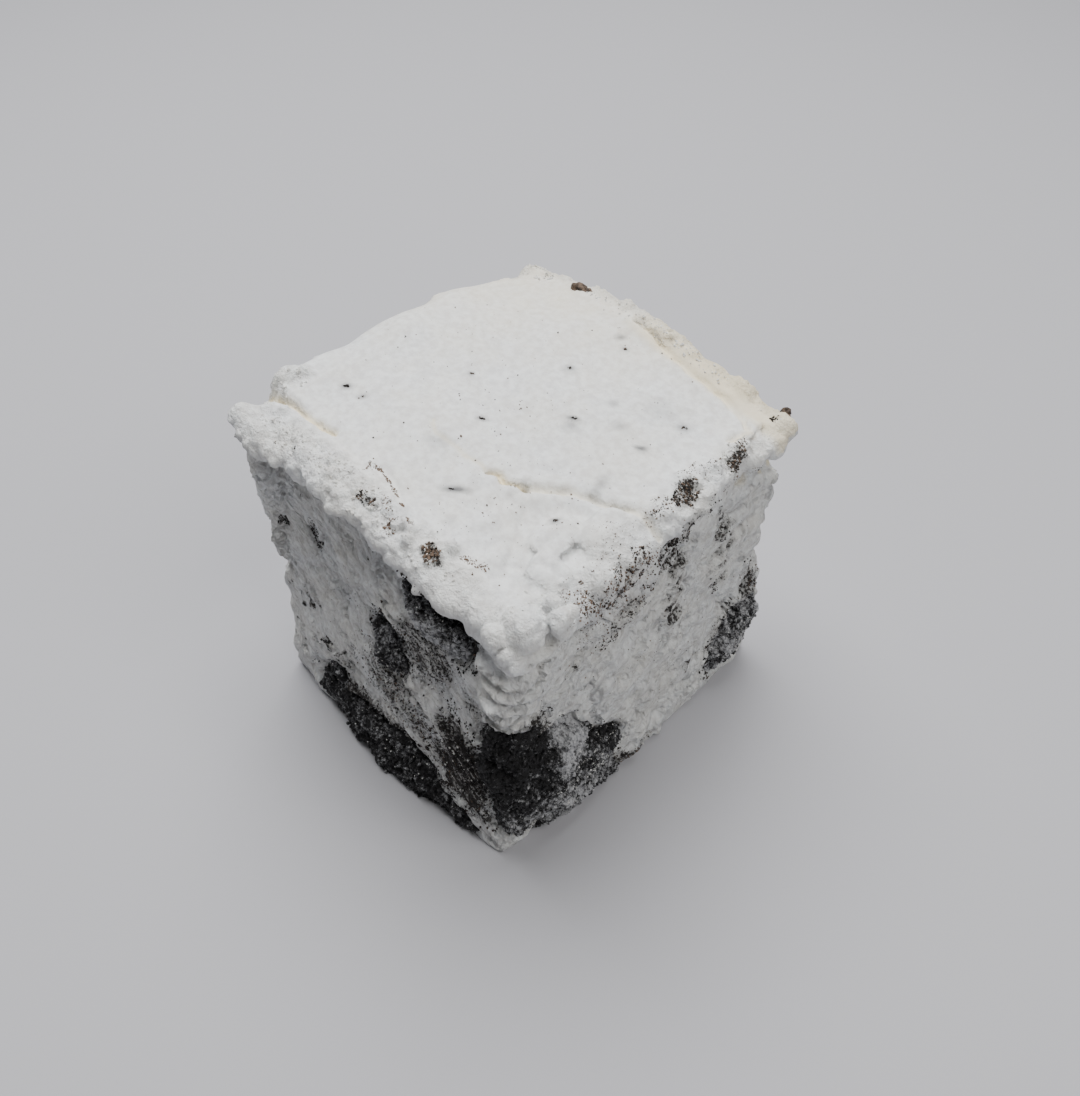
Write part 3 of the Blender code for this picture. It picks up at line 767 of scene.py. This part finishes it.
# Larger crumbs at the edges: middle, radii, turn.
edgeCrumbLumps = [
    ((-11.9, 21.7, 44.6), (0.95, 0.8, 0.62), 20.0),
    ((-10.8, 22.0, 44.5), (0.7, 0.62, 0.5), -30.0),
    ((-12.3, 22.3, 44.3), (0.55, 0.5, 0.42), 60.0),
    ((19.5, 24.4, 40.9), (0.52, 0.46, 0.4), 10.0),
    ((20.0, 24.1, 40.5), (0.34, 0.3, 0.3), 40.0),
]

edgeCrumbRelief = {"size": 0.5, "height": 0.3, "roughness": 0.3, "lean": 12, "tone": 0.55}

# Specks under the skin: place in plan, half length and half width, turn, strength.
skinSpecks = [
    ((4.4, -13.5), (1.45, 0.47), 38.0, 1),
    ((-16.3, -12), (0.65, 0.47), 40.0, 0.92),
    ((-2.1, -10.3), (1.45, 1.08), 40.0, 0.28),
    ((10.8, 11.9), (2.17, 1.73), 40.0, 0.23),
    ((-0.8, 8.9), (0.65, 0.51), 40.0, 0.69),
    ((-1.4, -4.4), (0.61, 0.39), 30.0, 0.92),
    ((5.4, 3.2), (0.8, 0.43), 30.0, 0.86),
    ((6, 2.2), (0.9, 0.65), 40.0, 0.46),
    ((-7.9, -0.2), (0.36, 0.35), 0.0, 0.69),
    ((13.4, 5.8), (0.69, 0.39), 40.0, 0.92),
    ((-1, 17.8), (0.72, 0.57), 40.0, 0.63),
    ((0.9, 16.6), (0.4, 0.35), 0.0, 0.8),
    ((14.2, 12.1), (0.81, 0.65), 40.0, 0.69),
    ((14.2, -1.5), (0.72, 1.73), 20.0, 0.46),
    ((14.6, -8.6), (0.54, 0.51), 20.0, 0.92),
    ((-13.5, -11.8), (0.61, 0.43), 40.0, 0.57),
    ((9.6, 6.4), (0.9, 0.73), 40.0, 0.41),
    ((6.6, 8.4), (0.72, 0.57), 40.0, 0.41),
]


def patchShare(places, normals, side, middle, half, turn):
    # 1 at the middle of a patch on one side, falling to 0 past its outline
    over = lipEdge["slant"] * (lipEdge["x"] - places[:, 0] + places[:, 2] - lipEdge["z"])
    facing = {"front": -normals[:, 1], "right": normals[:, 0], "top": normals[:, 2],
              "rightEdge": lipEdge["slant"] * (normals[:, 0] + normals[:, 2])}[side]
    x, y, z = places[:, 0], places[:, 1], places[:, 2]
    run, rise = {"front": (x, z), "right": (y, z), "top": (x, y), "rightEdge": (y, over)}[side]
    a, b = run - middle[0], rise - middle[1]
    if side in ("top", "rightEdge"):
        facing = facing * smoothStep(18.0, 22.0, places[:, 2])
    if side == "rightEdge":
        facing = facing * smoothStep(10.0, 16.0, places[:, 0])
    c, s = math.cos(math.radians(turn)), math.sin(math.radians(turn))
    reach = np.hypot((a * c + b * s) / half[0], (b * c - a * s) / half[1])
    return (1.0 - smoothStep(0.35, 1.15, reach)) * smoothStep(-0.1, 0.35, facing)


def paintFoam(block):
    places, normals = readPlaces(block.data)
    rim = rimShare(places, normals)
    skin = smoothStep(0.5, 0.85, normals[:, 2]) * smoothStep(33.0, 36.0, places[:, 2]) * (1.0 - rim)

    stain = np.zeros(len(places))
    for side, middle, half, turn, strength in smears:
        share = patchShare(places, normals, side, middle, half, turn) * strength
        stain = np.maximum(stain, share)

    smudge = np.zeros(len(places))
    cream = np.zeros(len(places))
    above = np.nonzero((normals[:, 2] > 0.2) & (places[:, 2] > 34.0))[0]
    top = places[above]
    for middle, half, turn, strength in skinSpecks:
        c, s = math.cos(math.radians(turn)), math.sin(math.radians(turn))
        a, b = top[:, 0] - middle[0], top[:, 1] - middle[1]
        reach = np.hypot((a * c + b * s) / half[0], (b * c - a * s) / half[1])
        smudge[above] = np.maximum(smudge[above], strength * np.exp(-(reach ** 2)))
    wobble = np.stack((softNoise(top, 1.6, 41), softNoise(top, 1.6, 42)), axis=1) * 0.3
    for crease in skinCreases:
        away = lineDistance(top[:, :2] + wobble, crease["line"])
        tint = crease["tint"] * np.exp(-((away / (crease["width"] * 1.1)) ** 2))
        cream[above] = np.maximum(cream[above], tint)
    backLeft = smoothStep(4.0, 30.0, top[:, 1] - 0.55 * top[:, 0]) * 0.32
    band = smoothStep(18.2, 20.2, top[:, 1]) * smoothStep(-6.0, 2.0, top[:, 0]) * 0.7
    cream[above] = np.maximum(cream[above], np.maximum(backLeft, band))
    paint(block.data, "foamMasks", (cream, stain, smudge, skin))

    # the fine layers of the material run along the torn layers of each side, and fade out towards its edges
    laid = np.zeros((len(places), 3))
    share = np.zeros(len(places))
    cut = (1.0 - rim) * smoothStep(0.75, 0.45, normals[:, 2])
    for side, weight in sideWeights(normals).items():
        along, across, deep = layerPlaces(places, side)
        strongest = weight > 0.5
        laid[strongest] = np.stack((along, across, deep), axis=1)[strongest]
        share[strongest] = (smoothStep(0.6, 0.85, weight) * cut)[strongest]
    paint(block.data, "layerPlace", (laid[:, 0], laid[:, 1], laid[:, 2], share))


def grainObject(name, spots, seed, level=1):
    # one joined mesh of broken grains; each spot is place, radius, tone
    draw = np.random.default_rng(seed)
    points, faces = ballShape(level)
    allPoints, allFaces, tones = [], [], []
    for index, (place, radius, tone) in enumerate(spots):
        axis = draw.normal(size=3)
        turn = np.array(Matrix.Rotation(draw.uniform(0.0, 6.28), 3, Vector(axis)))
        stretch = draw.uniform(0.6, 1.25, 3)
        jitter = 1.0 + draw.uniform(-0.28, 0.28, (len(points), 1))
        grain = (points * jitter * stretch) @ turn.T * radius + np.array(place)
        grain[:, 2] = np.maximum(grain[:, 2], 0.0)
        allPoints.append(grain)
        allFaces.append(faces + index * len(points))
        tones.append(np.full(len(points), tone))
    mesh = bpy.data.meshes.new(name)
    placed = (np.concatenate(allPoints) + origin) * mm
    mesh.from_pydata(placed.tolist(), [], np.concatenate(allFaces).tolist())
    values = np.concatenate(tones)
    paint(mesh, "grainTone", (values, values, values, np.ones(len(values))))
    made = bpy.data.objects.new(name, mesh)
    bpy.context.scene.collection.objects.link(made)
    print(name, len(spots), "grains")
    return made


def patchSpots(tree, patch, draw):
    side, middle, half, turn, count, radii, brown = patch
    clump = crumbFineness["clump"]
    c, s = math.cos(math.radians(turn)), math.sin(math.radians(turn))
    spots = []
    for _ in range(round(count * crumbFineness["number"])):
        reach = draw.random() ** 0.62
        angle = draw.uniform(0.0, 2.0 * math.pi)
        a = half[0] * reach * math.cos(angle)
        b = half[1] * reach * math.sin(angle)
        place, normal = castOn(tree, side, middle[0] + a * c - b * s, middle[1] + a * s + b * c)
        # crumbs gather in clumps, so thin them where a coarse noise is low
        if place is None or noise.noise(place / clump["size"]) < clump["least"] + 0.3 * (reach - 0.6):
            continue
        radius = (radii[0] + (radii[1] - radii[0]) * draw.random() ** 2.4) * crumbFineness["size"]
        tone = min(max(brown + draw.uniform(*crumbFineness["toneSpread"]), 0.0), 1.0)
        spots.append((place + normal * radius * draw.uniform(*crumbFineness["sink"]), radius, tone))
    return spots


cookieLumps = {
    "voxel": 0.2,
    "grow": 0.45,
    "smoothing": 12,
    "sunk": 0.1,
    "chips": {"size": 1.7, "height": 0.7},
    "crumbs": {"size": 0.6, "height": 0.5},
    "slump": {"size": 2.6, "height": 0.6},
    "grains": {"cookie_front": 5200, "cookie_strip": 3000, "cookie_upper": 1500, "cookie_left": 1100,
               "cookie_right": 1300},
    "grainRadius": (0.06, 0.4),
    "frost": {"cookie_front": 0.34, "cookie_strip": 0.4, "cookie_upper": 0.45, "cookie_left": 0.5,
              "cookie_right": 0.66},
    "lobes": {  # extra crushed cookie pressed on: middle, radii, lean
        "cookie_front": [((20.0, -22.3, 21.4), (1.5, 1.5, 3.4), (0, 0, 0)),
                         ((21.4, -22.0, 20.6), (1.5, 1.6, 2.6), (0, 0, 0)),
                         ((21.8, -20.6, 21.8), (1.1, 1.7, 2.2), (0, 0, 0)),
                         ((21.1, -21.4, 17.6), (1.8, 1.9, 4.4), (8, 0, 0)),
                         ((19.6, -22.5, 15.6), (2.0, 1.5, 3.8), (0, 0, 0)),
                         ((20.9, -21.5, 11.6), (1.8, 1.8, 3.4), (0, 0, 0)),
                         ((20.9, -21.0, 6.8), (1.7, 1.8, 3.0), (0, 0, 0)),
                         ((20.4, -15.0, 1.8), (1.7, 4.4, 1.7), (0, 0, 0)),
                         ((20.9, -9.0, 5.2), (1.2, 2.6, 2.6), (-40, 0, 0))],
        "cookie_strip": [((-9.5, -22.6, 8.0), (2.0, 1.4, 1.3), (0, 0, 0))],
        "cookie_left": [((4.2, -21.6, 20.4), (0.9, 1.2, 2.4), (0, 10, 0))],
    },
}


def buildCookie(name):
    # a broken lump: rough core, then grains of crumb pressed on where it shows
    shape = nodeCopy(name, cookieLumps["grow"])
    if name in cookieLumps["lobes"]:
        addLumps(shape, cookieLumps["lobes"][name], 0.2, 3)
    voxel = cookieLumps["voxel"]
    core = meshObject(name.replace("cookie_", "crumb_core_"), shape)
    evenSkin(core, voxel, cookieLumps["smoothing"])
    places, normals = readPlaces(core.data)
    chips, crumbs, slump = cookieLumps["chips"], cookieLumps["crumbs"], cookieLumps["slump"]
    push = (cellNoise(places, chips["size"], 5) - 0.6) * chips["height"]
    push += (cellNoise(places, crumbs["size"], 6) - 0.6) * crumbs["height"]
    push += softNoise(places, slump["size"], 7) * slump["height"] - cookieLumps["sunk"]
    places = places + normals * push[:, None]
    places[:, 2] = np.maximum(places[:, 2], 0.02)
    writePlaces(core.data, places)
    places, normals = readPlaces(core.data)

    draw = random.Random(len(name) * 7)
    facing = {"cookie_front": np.maximum(normals[:, 0], -normals[:, 1]), "cookie_right": normals[:, 0]}
    shown = np.nonzero(facing.get(name, -normals[:, 1]) > 0.15)[0].tolist()
    smallest, largest = cookieLumps["grainRadius"]
    spots = []
    for _ in range(cookieLumps["grains"][name]):
        at = shown[draw.randrange(len(shown))]
        radius = smallest + (largest - smallest) * draw.random() ** 2.4
        spot = places[at] + normals[at] * radius * draw.uniform(-0.2, 0.5)
        spot[2] = max(spot[2], radius)
        spots.append((spot, radius, draw.random() * 0.4))
    grains = grainObject(name + "_grains", spots, len(name), 1)
    tones = np.clip(0.12 + 0.2 * softNoise(places, 1.4, 8), 0.0, 1.0)
    paint(core.data, "grainTone", (tones, tones, tones, np.ones(len(tones))))

    joined = bmesh.new()
    joined.from_mesh(core.data)
    joined.from_mesh(grains.data)
    for part in (core, grains):
        bpy.data.objects.remove(part)
    made = meshObject(name.replace("cookie_", "cookieLump_"), joined)
    places, _ = readPlaces(made.data)
    frost = cookieLumps["frost"][name] + 0.2 * softNoise(places, 3.0, 9)
    if name == "cookie_front":
        # most foam is rubbed in low down and in a band along the middle of the right side
        inner = smoothStep(-18.0, -14.5, places[:, 1]) * (1.0 - smoothStep(-12.5, -9.5, places[:, 1]))
        frost += 0.26 * smoothStep(11.0, 6.0, places[:, 2]) - 0.14 * smoothStep(13.0, 18.0, places[:, 2])
        frost += inner * (0.15 + 0.6 * smoothStep(9.0, 15.0, places[:, 2]))
    if name == "cookie_upper":
        frost += 0.6 * smoothStep(36.0, 31.0, places[:, 2])
    paint(made.data, "frostShare", (frost, frost, frost))
    print(made.name, len(made.data.polygons), "faces")
    return made


def hexColour(text):
    # sRGB hex to linear
    parts = [int(text[i:i + 2], 16) / 255.0 for i in (0, 2, 4)]
    return tuple(p / 12.92 if p <= 0.04045 else ((p + 0.055) / 1.055) ** 2.4 for p in parts) + (1.0,)


def perMm(size):
    return 1.0 / (size * mm)


def newMaterial(name):
    material = bpy.data.materials.new(name)
    material.use_nodes = True
    material.node_tree.nodes.clear()
    return material, material.node_tree


def addNode(tree, kind, settings=None, links=None):
    node = tree.nodes.new(kind)
    for key, value in (settings or {}).items():
        setattr(node, key, value)
    for key, value in (links or {}).items():
        if isinstance(value, bpy.types.NodeSocket):
            tree.links.new(value, node.inputs[key])
        else:
            node.inputs[key].default_value = value
    return node


rgb = {"data_type": "RGBA"}
eased = {"interpolation_type": "SMOOTHSTEP"}
times = {"operation": "MULTIPLY"}
timesPlus = {"operation": "MULTIPLY_ADD"}

foamLook = {
    "colours": {
        "white": "f3f6f7",
        "cream": "efe2c2",
        "shade": "d9d9da",
        # painted shade: the darker colour laid into the hollows between the torn scales on the cut sides
        "paintedHollowShade": "c6c4c1",
        "dust": "100f10",
        "dustBrown": "3e3935",
        "dustPale": "6a6969",
        "smudge": "48484d",
    },
    "speck": 0.34,  # mm, the fine dust of the cookie
    "roughness": (0.62, 0.86),
    "bubble": 0.42,  # mm, coarser than the real 0.1 mm bubbles so that they show
    "grain": 0.9,  # mm
    "clump": 1.5,  # mm, how the dust gathers
    "cloud": 5.0,  # mm, patches of creamier foam
    "layer": (1.2, 0.42, 0.8),  # mm along, across and into the fine torn layers
    "relief": 0.6,  # mm
    "reliefShare": (0.9, 0.12),  # on the cut sides, and on the smooth skin
    "glow": (0.18, 0.4),  # how much light soaks in, and how many mm deep
}


def whippedFoam(layered):
    # Marshmallow: sugar and gelatine whipped to a foam, set under a skin and cut with a knife.
    # The eye gets a chalky, faintly glowing white, smooth where it set and torn where it was cut.
    look = foamLook
    tone = {name: hexColour(value) for name, value in look["colours"].items()}
    material, tree = newMaterial("whipped sugar foam, cut" if layered else "whipped sugar foam, loose bits")
    place = addNode(tree, "ShaderNodeTexCoord").outputs["Object"]
    masks = addNode(tree, "ShaderNodeAttribute", {"attribute_name": "foamMasks"})
    split = addNode(tree, "ShaderNodeSeparateColor", {}, {"Color": masks.outputs["Color"]})
    cream, stain, smudge, skin = split.outputs[0], split.outputs[1], split.outputs[2], masks.outputs["Alpha"]

    cloud = addNode(tree, "ShaderNodeTexNoise", {},
                    {"Vector": place, "Scale": perMm(look["cloud"]), "Detail": 3.0}).outputs[0]
    bubbles, grain, clump, speck = (
        addNode(tree, "ShaderNodeTexNoise", {},
                {"Vector": place, "Scale": perMm(look[size]), "Detail": detail, "Roughness": rough}).outputs[0]
        for size, detail, rough in (("bubble", 4.0, 0.65), ("grain", 5.0, 0.6), ("clump", 6.0, 0.72),
                                    ("speck", 4.0, 0.7))
    )

    uneven = addNode(tree, "ShaderNodeMapRange", {},
                     {"Value": cloud, "From Min": 0.35, "From Max": 0.65, "To Min": 0.0, "To Max": 0.14})
    creamy = addNode(tree, "ShaderNodeMath", {"operation": "ADD", "use_clamp": True},
                     {0: cream, 1: uneven.outputs[0]})
    mottle = addNode(tree, "ShaderNodeMapRange", {},
                     {"Value": grain, "From Min": 0.62, "From Max": 0.38, "To Min": 0.0, "To Max": 0.8})
    mixes = [(mottle.outputs[0], tone["shade"]), (creamy.outputs[0], tone["cream"]), (smudge, tone["smudge"])]

    # cookie dust takes the foam where the stain mask and the clumps together pass a level
    level = addNode(tree, "ShaderNodeMath", timesPlus, {0: clump, 1: 1.5, 2: stain}).outputs[0]
    fine = addNode(tree, "ShaderNodeMath", timesPlus, {0: speck, 1: 1.8, 2: level}).outputs[0]
    veil = addNode(tree, "ShaderNodeMapRange", eased,
                   {"Value": level, "From Min": 1.0, "From Max": 1.75, "To Min": 0.0, "To Max": 0.72})
    dots = addNode(tree, "ShaderNodeMapRange", eased,
                   {"Value": fine, "From Min": 2.24, "From Max": 2.46, "To Min": 0.0, "To Max": 0.96})
    present = addNode(tree, "ShaderNodeMapRange", {},
                      {"Value": stain, "From Min": 0.02, "From Max": 0.22, "To Min": 0.0, "To Max": 1.0})
    dustTone = addNode(tree, "ShaderNodeMix", rgb, {0: bubbles, 6: tone["dust"], 7: tone["dustBrown"]})
    for share, dust in ((veil, tone["dustPale"]), (dots, dustTone.outputs[2])):
        kept = addNode(tree, "ShaderNodeMath", times, {0: share.outputs[0], 1: present.outputs[0]})
        mixes.append((kept.outputs[0], dust))

    rough = addNode(tree, "ShaderNodeMapRange", {},
                    {"Value": bubbles, "From Min": 0.3, "From Max": 0.7,
                     "To Min": look["roughness"][0], "To Max": look["roughness"][1]})
    height = addNode(tree, "ShaderNodeMath", timesPlus, {0: bubbles, 1: 0.55, 2: grain})
    if layered:
        # thin scales drawn out along the torn layers; the hollows between them get painted shade, a darker
        # colour standing in for the shade that falls there
        laid = addNode(tree, "ShaderNodeAttribute", {"attribute_name": "layerPlace"})
        squeeze = addNode(tree, "ShaderNodeVectorMath", {"operation": "DIVIDE"},
                          {0: laid.outputs["Vector"], 1: look["layer"]})
        scales = addNode(tree, "ShaderNodeTexNoise", {},
                         {"Vector": squeeze.outputs[0], "Scale": 1.0, "Detail": 3.0, "Roughness": 0.6,
                          "Distortion": 0.6}).outputs[0]
        scaled = addNode(tree, "ShaderNodeMath", times, {0: scales, 1: laid.outputs["Alpha"]})
        height = addNode(tree, "ShaderNodeMath", timesPlus,
                         {0: scaled.outputs[0], 1: 1.6, 2: height.outputs[0]})
        low = addNode(tree, "ShaderNodeMapRange", eased,
                      {"Value": scales, "From Min": 0.5, "From Max": 0.32, "To Min": 0.0, "To Max": 0.75})
        paintedHollowShade = addNode(tree, "ShaderNodeMath", times,
                         {0: low.outputs[0], 1: laid.outputs["Alpha"]})
        mixes.append((paintedHollowShade.outputs[0], tone["paintedHollowShade"]))
    colour = tone["white"]
    for share, over in mixes:
        colour = addNode(tree, "ShaderNodeMix", rgb, {0: share, 6: colour, 7: over}).outputs[2]

    bare = addNode(tree, "ShaderNodeMapRange", {},
                   {"Value": skin, "From Min": 0.0, "From Max": 1.0,
                    "To Min": look["reliefShare"][0], "To Max": look["reliefShare"][1]})
    bump = addNode(tree, "ShaderNodeBump", {},
                   {"Height": height.outputs[0], "Strength": bare.outputs[0],
                    "Distance": look["relief"] * mm})
    shader = addNode(tree, "ShaderNodeBsdfPrincipled", {"subsurface_method": "RANDOM_WALK"}, {
        "Base Color": colour, "Roughness": rough.outputs[0], "Normal": bump.outputs[0], "IOR": 1.42,
        "Subsurface Weight": look["glow"][0], "Subsurface Scale": look["glow"][1] * mm,
        "Subsurface Radius": (1.0, 0.95, 0.9), "Specular IOR Level": 0.25,
    })
    addNode(tree, "ShaderNodeOutputMaterial", {}, {"Surface": shader.outputs[0]})
    return material


crumbLook = {
    "broken": ("080809", "1c1b1d", "585656"),  # from the darkest grain to the palest
    "loose": ("0e0d0d", "352e29", "806c5c"),
    "frost": "cdced1",
    "grit": 0.35,  # mm, coarser than the real 0.1 mm cocoa so that it shows
    "dusting": 1.0,  # mm, the patches of rubbed-in foam
    "roughness": (0.42, 0.85),
    "relief": 0.3,  # mm
}


def bakedCrumb(name, kind, frosted):
    # Cocoa cookie: baked dry, then crushed. The eye gets near-black broken grains, browner where light
    # passes the fine ones, with sugar and foam rubbed into them.
    look = crumbLook
    dark, middling, pale = (hexColour(value) for value in look[kind])
    material, tree = newMaterial(name)
    place = addNode(tree, "ShaderNodeTexCoord").outputs["Object"]
    tone = addNode(tree, "ShaderNodeAttribute", {"attribute_name": "grainTone"}).outputs["Fac"]
    grit, dusting = (
        addNode(tree, "ShaderNodeTexNoise", {},
                {"Vector": place, "Scale": perMm(look[size]), "Detail": detail, "Roughness": rough}).outputs[0]
        for size, detail, rough in (("grit", 4.0, 0.7), ("dusting", 7.0, 0.85))
    )
    varied = addNode(tree, "ShaderNodeMath", timesPlus, {0: grit, 1: 0.5, 2: tone})
    ramp = addNode(tree, "ShaderNodeValToRGB", {}, {"Fac": varied.outputs[0]})
    stops = ramp.color_ramp.elements
    stops[0].position, stops[0].color = 0.2, dark
    stops[1].position, stops[1].color = 1.0, pale
    stops.new(0.66).color = middling
    colour = ramp.outputs[0]
    if frosted:
        # foam rubbed in: more of it where the lump's frost share is high
        share = addNode(tree, "ShaderNodeAttribute", {"attribute_name": "frostShare"}).outputs["Fac"]
        level = addNode(tree, "ShaderNodeMath", timesPlus, {0: share, 1: 0.26, 2: dusting})
        rubbed = addNode(tree, "ShaderNodeMapRange", eased,
                         {"Value": level.outputs[0], "From Min": 0.61, "From Max": 0.77, "To Min": 0.0,
                          "To Max": 0.85})
        colour = addNode(tree, "ShaderNodeMix", rgb,
                         {0: rubbed.outputs[0], 6: colour, 7: hexColour(look["frost"])}).outputs[2]
    rough = addNode(tree, "ShaderNodeMapRange", {},
                    {"Value": grit, "From Min": 0.3, "From Max": 0.7,
                     "To Min": look["roughness"][0], "To Max": look["roughness"][1]})
    bump = addNode(tree, "ShaderNodeBump", {},
                   {"Height": grit, "Strength": 0.8, "Distance": look["relief"] * mm})
    shader = addNode(tree, "ShaderNodeBsdfPrincipled", {}, {
        "Base Color": colour, "Roughness": rough.outputs[0], "Normal": bump.outputs[0],
        "IOR": 1.45, "Specular IOR Level": 0.45,
    })
    addNode(tree, "ShaderNodeOutputMaterial", {}, {"Surface": shader.outputs[0]})
    return material


foamFinish = whippedFoam(True)
bitFinish = whippedFoam(False)
darkCrumb = bakedCrumb("baked cocoa cookie, broken", "broken", True)
brownCrumb = bakedCrumb("baked cocoa cookie, loose crumbs", "loose", False)


def placePiece(piece, material, slotName, *nodes):
    piece.data.materials.clear()
    piece.data.materials.append(material)
    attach(piece, "root")
    if nodes:
        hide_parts(*nodes)


foam = buildFoam()
paintFoam(foam)
foam.data.shade_smooth()
placePiece(foam, foamFinish, "marshmallow", "marshmallow")

lumpsMade = []
for cookieName in cookieNames:
    lumpsMade.append(buildCookie(cookieName))
    placePiece(lumpsMade[-1], darkCrumb, "cookie", cookieName)

foamTree = treeOf(foam)
crumbDraw = random.Random(3)
crumbSpots = []
for patch in crumbPatches:
    crumbSpots += patchSpots(foamTree, patch, crumbDraw)
placePiece(grainObject("looseCrumbs", crumbSpots, 5, 0), brownCrumb, "cookie")

wholeTree = treeOf(foam, *lumpsMade)
bitSpots = []
for patch in foamBits:
    bitSpots += patchSpots(wholeTree, patch, crumbDraw)
foamCrumbs = grainObject("foamCrumbs", bitSpots, 9, 1)
paint(foamCrumbs.data, "foamMasks", (0.1, 0.0, 0.0, 0.3))
placePiece(foamCrumbs, bitFinish, "marshmallow")

edgeShape = bmesh.new()
edgeLumps = [(middle, radii, (0, edgeCrumbRelief["lean"], turn)) for middle, radii, turn in edgeCrumbLumps]
addLumps(edgeShape, edgeLumps, edgeCrumbRelief["roughness"], 4)
edgeCrumbs = meshObject("edgeCrumbs", edgeShape)
edgePlaces, edgeNormals = readPlaces(edgeCrumbs.data)
edgeRough = (cellNoise(edgePlaces, edgeCrumbRelief["size"], 3) - 0.6) * edgeCrumbRelief["height"]
writePlaces(edgeCrumbs.data, edgePlaces + edgeNormals * edgeRough[:, None])
edgeTones = edgeCrumbRelief["tone"] + 0.3 * softNoise(edgePlaces, 0.6, 4)
paint(edgeCrumbs.data, "grainTone", (edgeTones, edgeTones, edgeTones))
placePiece(edgeCrumbs, brownCrumb, "cookie")
print("edgeCrumbs", len(edgeLumps), "crumbs")

studio = {
    "azimuth": 46.0,
    "elevation": 44.69,
    "distance": 139.4,  # mm
    "aim": (2.1, 1.2, 22.0),
    "lens": 36.13,  # mm, on a 36 mm sensor
    "floor": "b9b9be",
    "floorHalf": 1.5,  # metres
    "lightAim": 20.0,  # mm over the floor
    "lights": {  # degrees round and up, metres, watts
        "key": {"azimuth": 242.0, "elevation": 69.0, "distance": 0.5, "size": 0.45, "power": 4.25,
                "colour": "ffffff"},
        "fill": {"azimuth": 96.0, "elevation": 50.0, "distance": 0.7, "size": 0.4, "power": 2.3,
                 "colour": "fffdfa"},
    },
    "sky": ("f5f4f1", 0.1),
}


def awayFrom(azimuth, elevation):
    a, e = math.radians(azimuth), math.radians(elevation)
    return Vector((math.sin(a) * math.cos(e), -math.cos(a) * math.cos(e), math.sin(e)))


def layFloor():
    shape = bmesh.new()
    bmesh.ops.create_grid(shape, x_segments=1, y_segments=1, size=studio["floorHalf"])
    floor = meshObject("floor", shape)
    floor.location = (0.0, 0.0, cadLow.z)
    material, tree = newMaterial("pale matt board")
    shader = addNode(tree, "ShaderNodeBsdfPrincipled", {}, {
        "Base Color": hexColour(studio["floor"]), "Roughness": 0.7, "Specular IOR Level": 0.2})
    addNode(tree, "ShaderNodeOutputMaterial", {}, {"Surface": shader.outputs[0]})
    floor.data.materials.append(material)


def softBox(name, azimuth, elevation, distance, size, power, colour):
    light = bpy.data.lights.new(name, "AREA")
    light.shape = "SQUARE"
    light.size = size
    light.energy = power
    light.color = hexColour(colour)[:3]
    lamp = bpy.data.objects.new(name, light)
    way = awayFrom(azimuth, elevation)
    lamp.location = Vector((0.0, 0.0, cadLow.z + studio["lightAim"] * mm)) + way * distance
    lamp.rotation_euler = (-way).to_track_quat("-Z", "Y").to_euler()
    bpy.context.scene.collection.objects.link(lamp)


def setCamera():
    lens = bpy.data.cameras.new("camera")
    lens.sensor_fit = "AUTO"
    lens.sensor_width = 36.0
    lens.lens = studio["lens"]
    lens.clip_start = 0.005
    camera = bpy.data.objects.new("camera", lens)
    way = awayFrom(studio["azimuth"], studio["elevation"])
    camera.location = (Vector(origin) + Vector(studio["aim"]) + way * studio["distance"]) * mm
    camera.rotation_euler = (-way).to_track_quat("-Z", "Y").to_euler()
    bpy.context.scene.collection.objects.link(camera)
    bpy.context.scene.camera = camera


layFloor()
for lightName, light in studio["lights"].items():
    softBox(lightName, **light)
sky = bpy.data.worlds.new("even light")
sky.use_nodes = True
skyColour, skyStrength = studio["sky"]
sky.node_tree.nodes["Background"].inputs["Color"].default_value = hexColour(skyColour)
sky.node_tree.nodes["Background"].inputs["Strength"].default_value = skyStrength
bpy.context.scene.world = sky
setCamera()
print("floor, light and camera")

print("done")
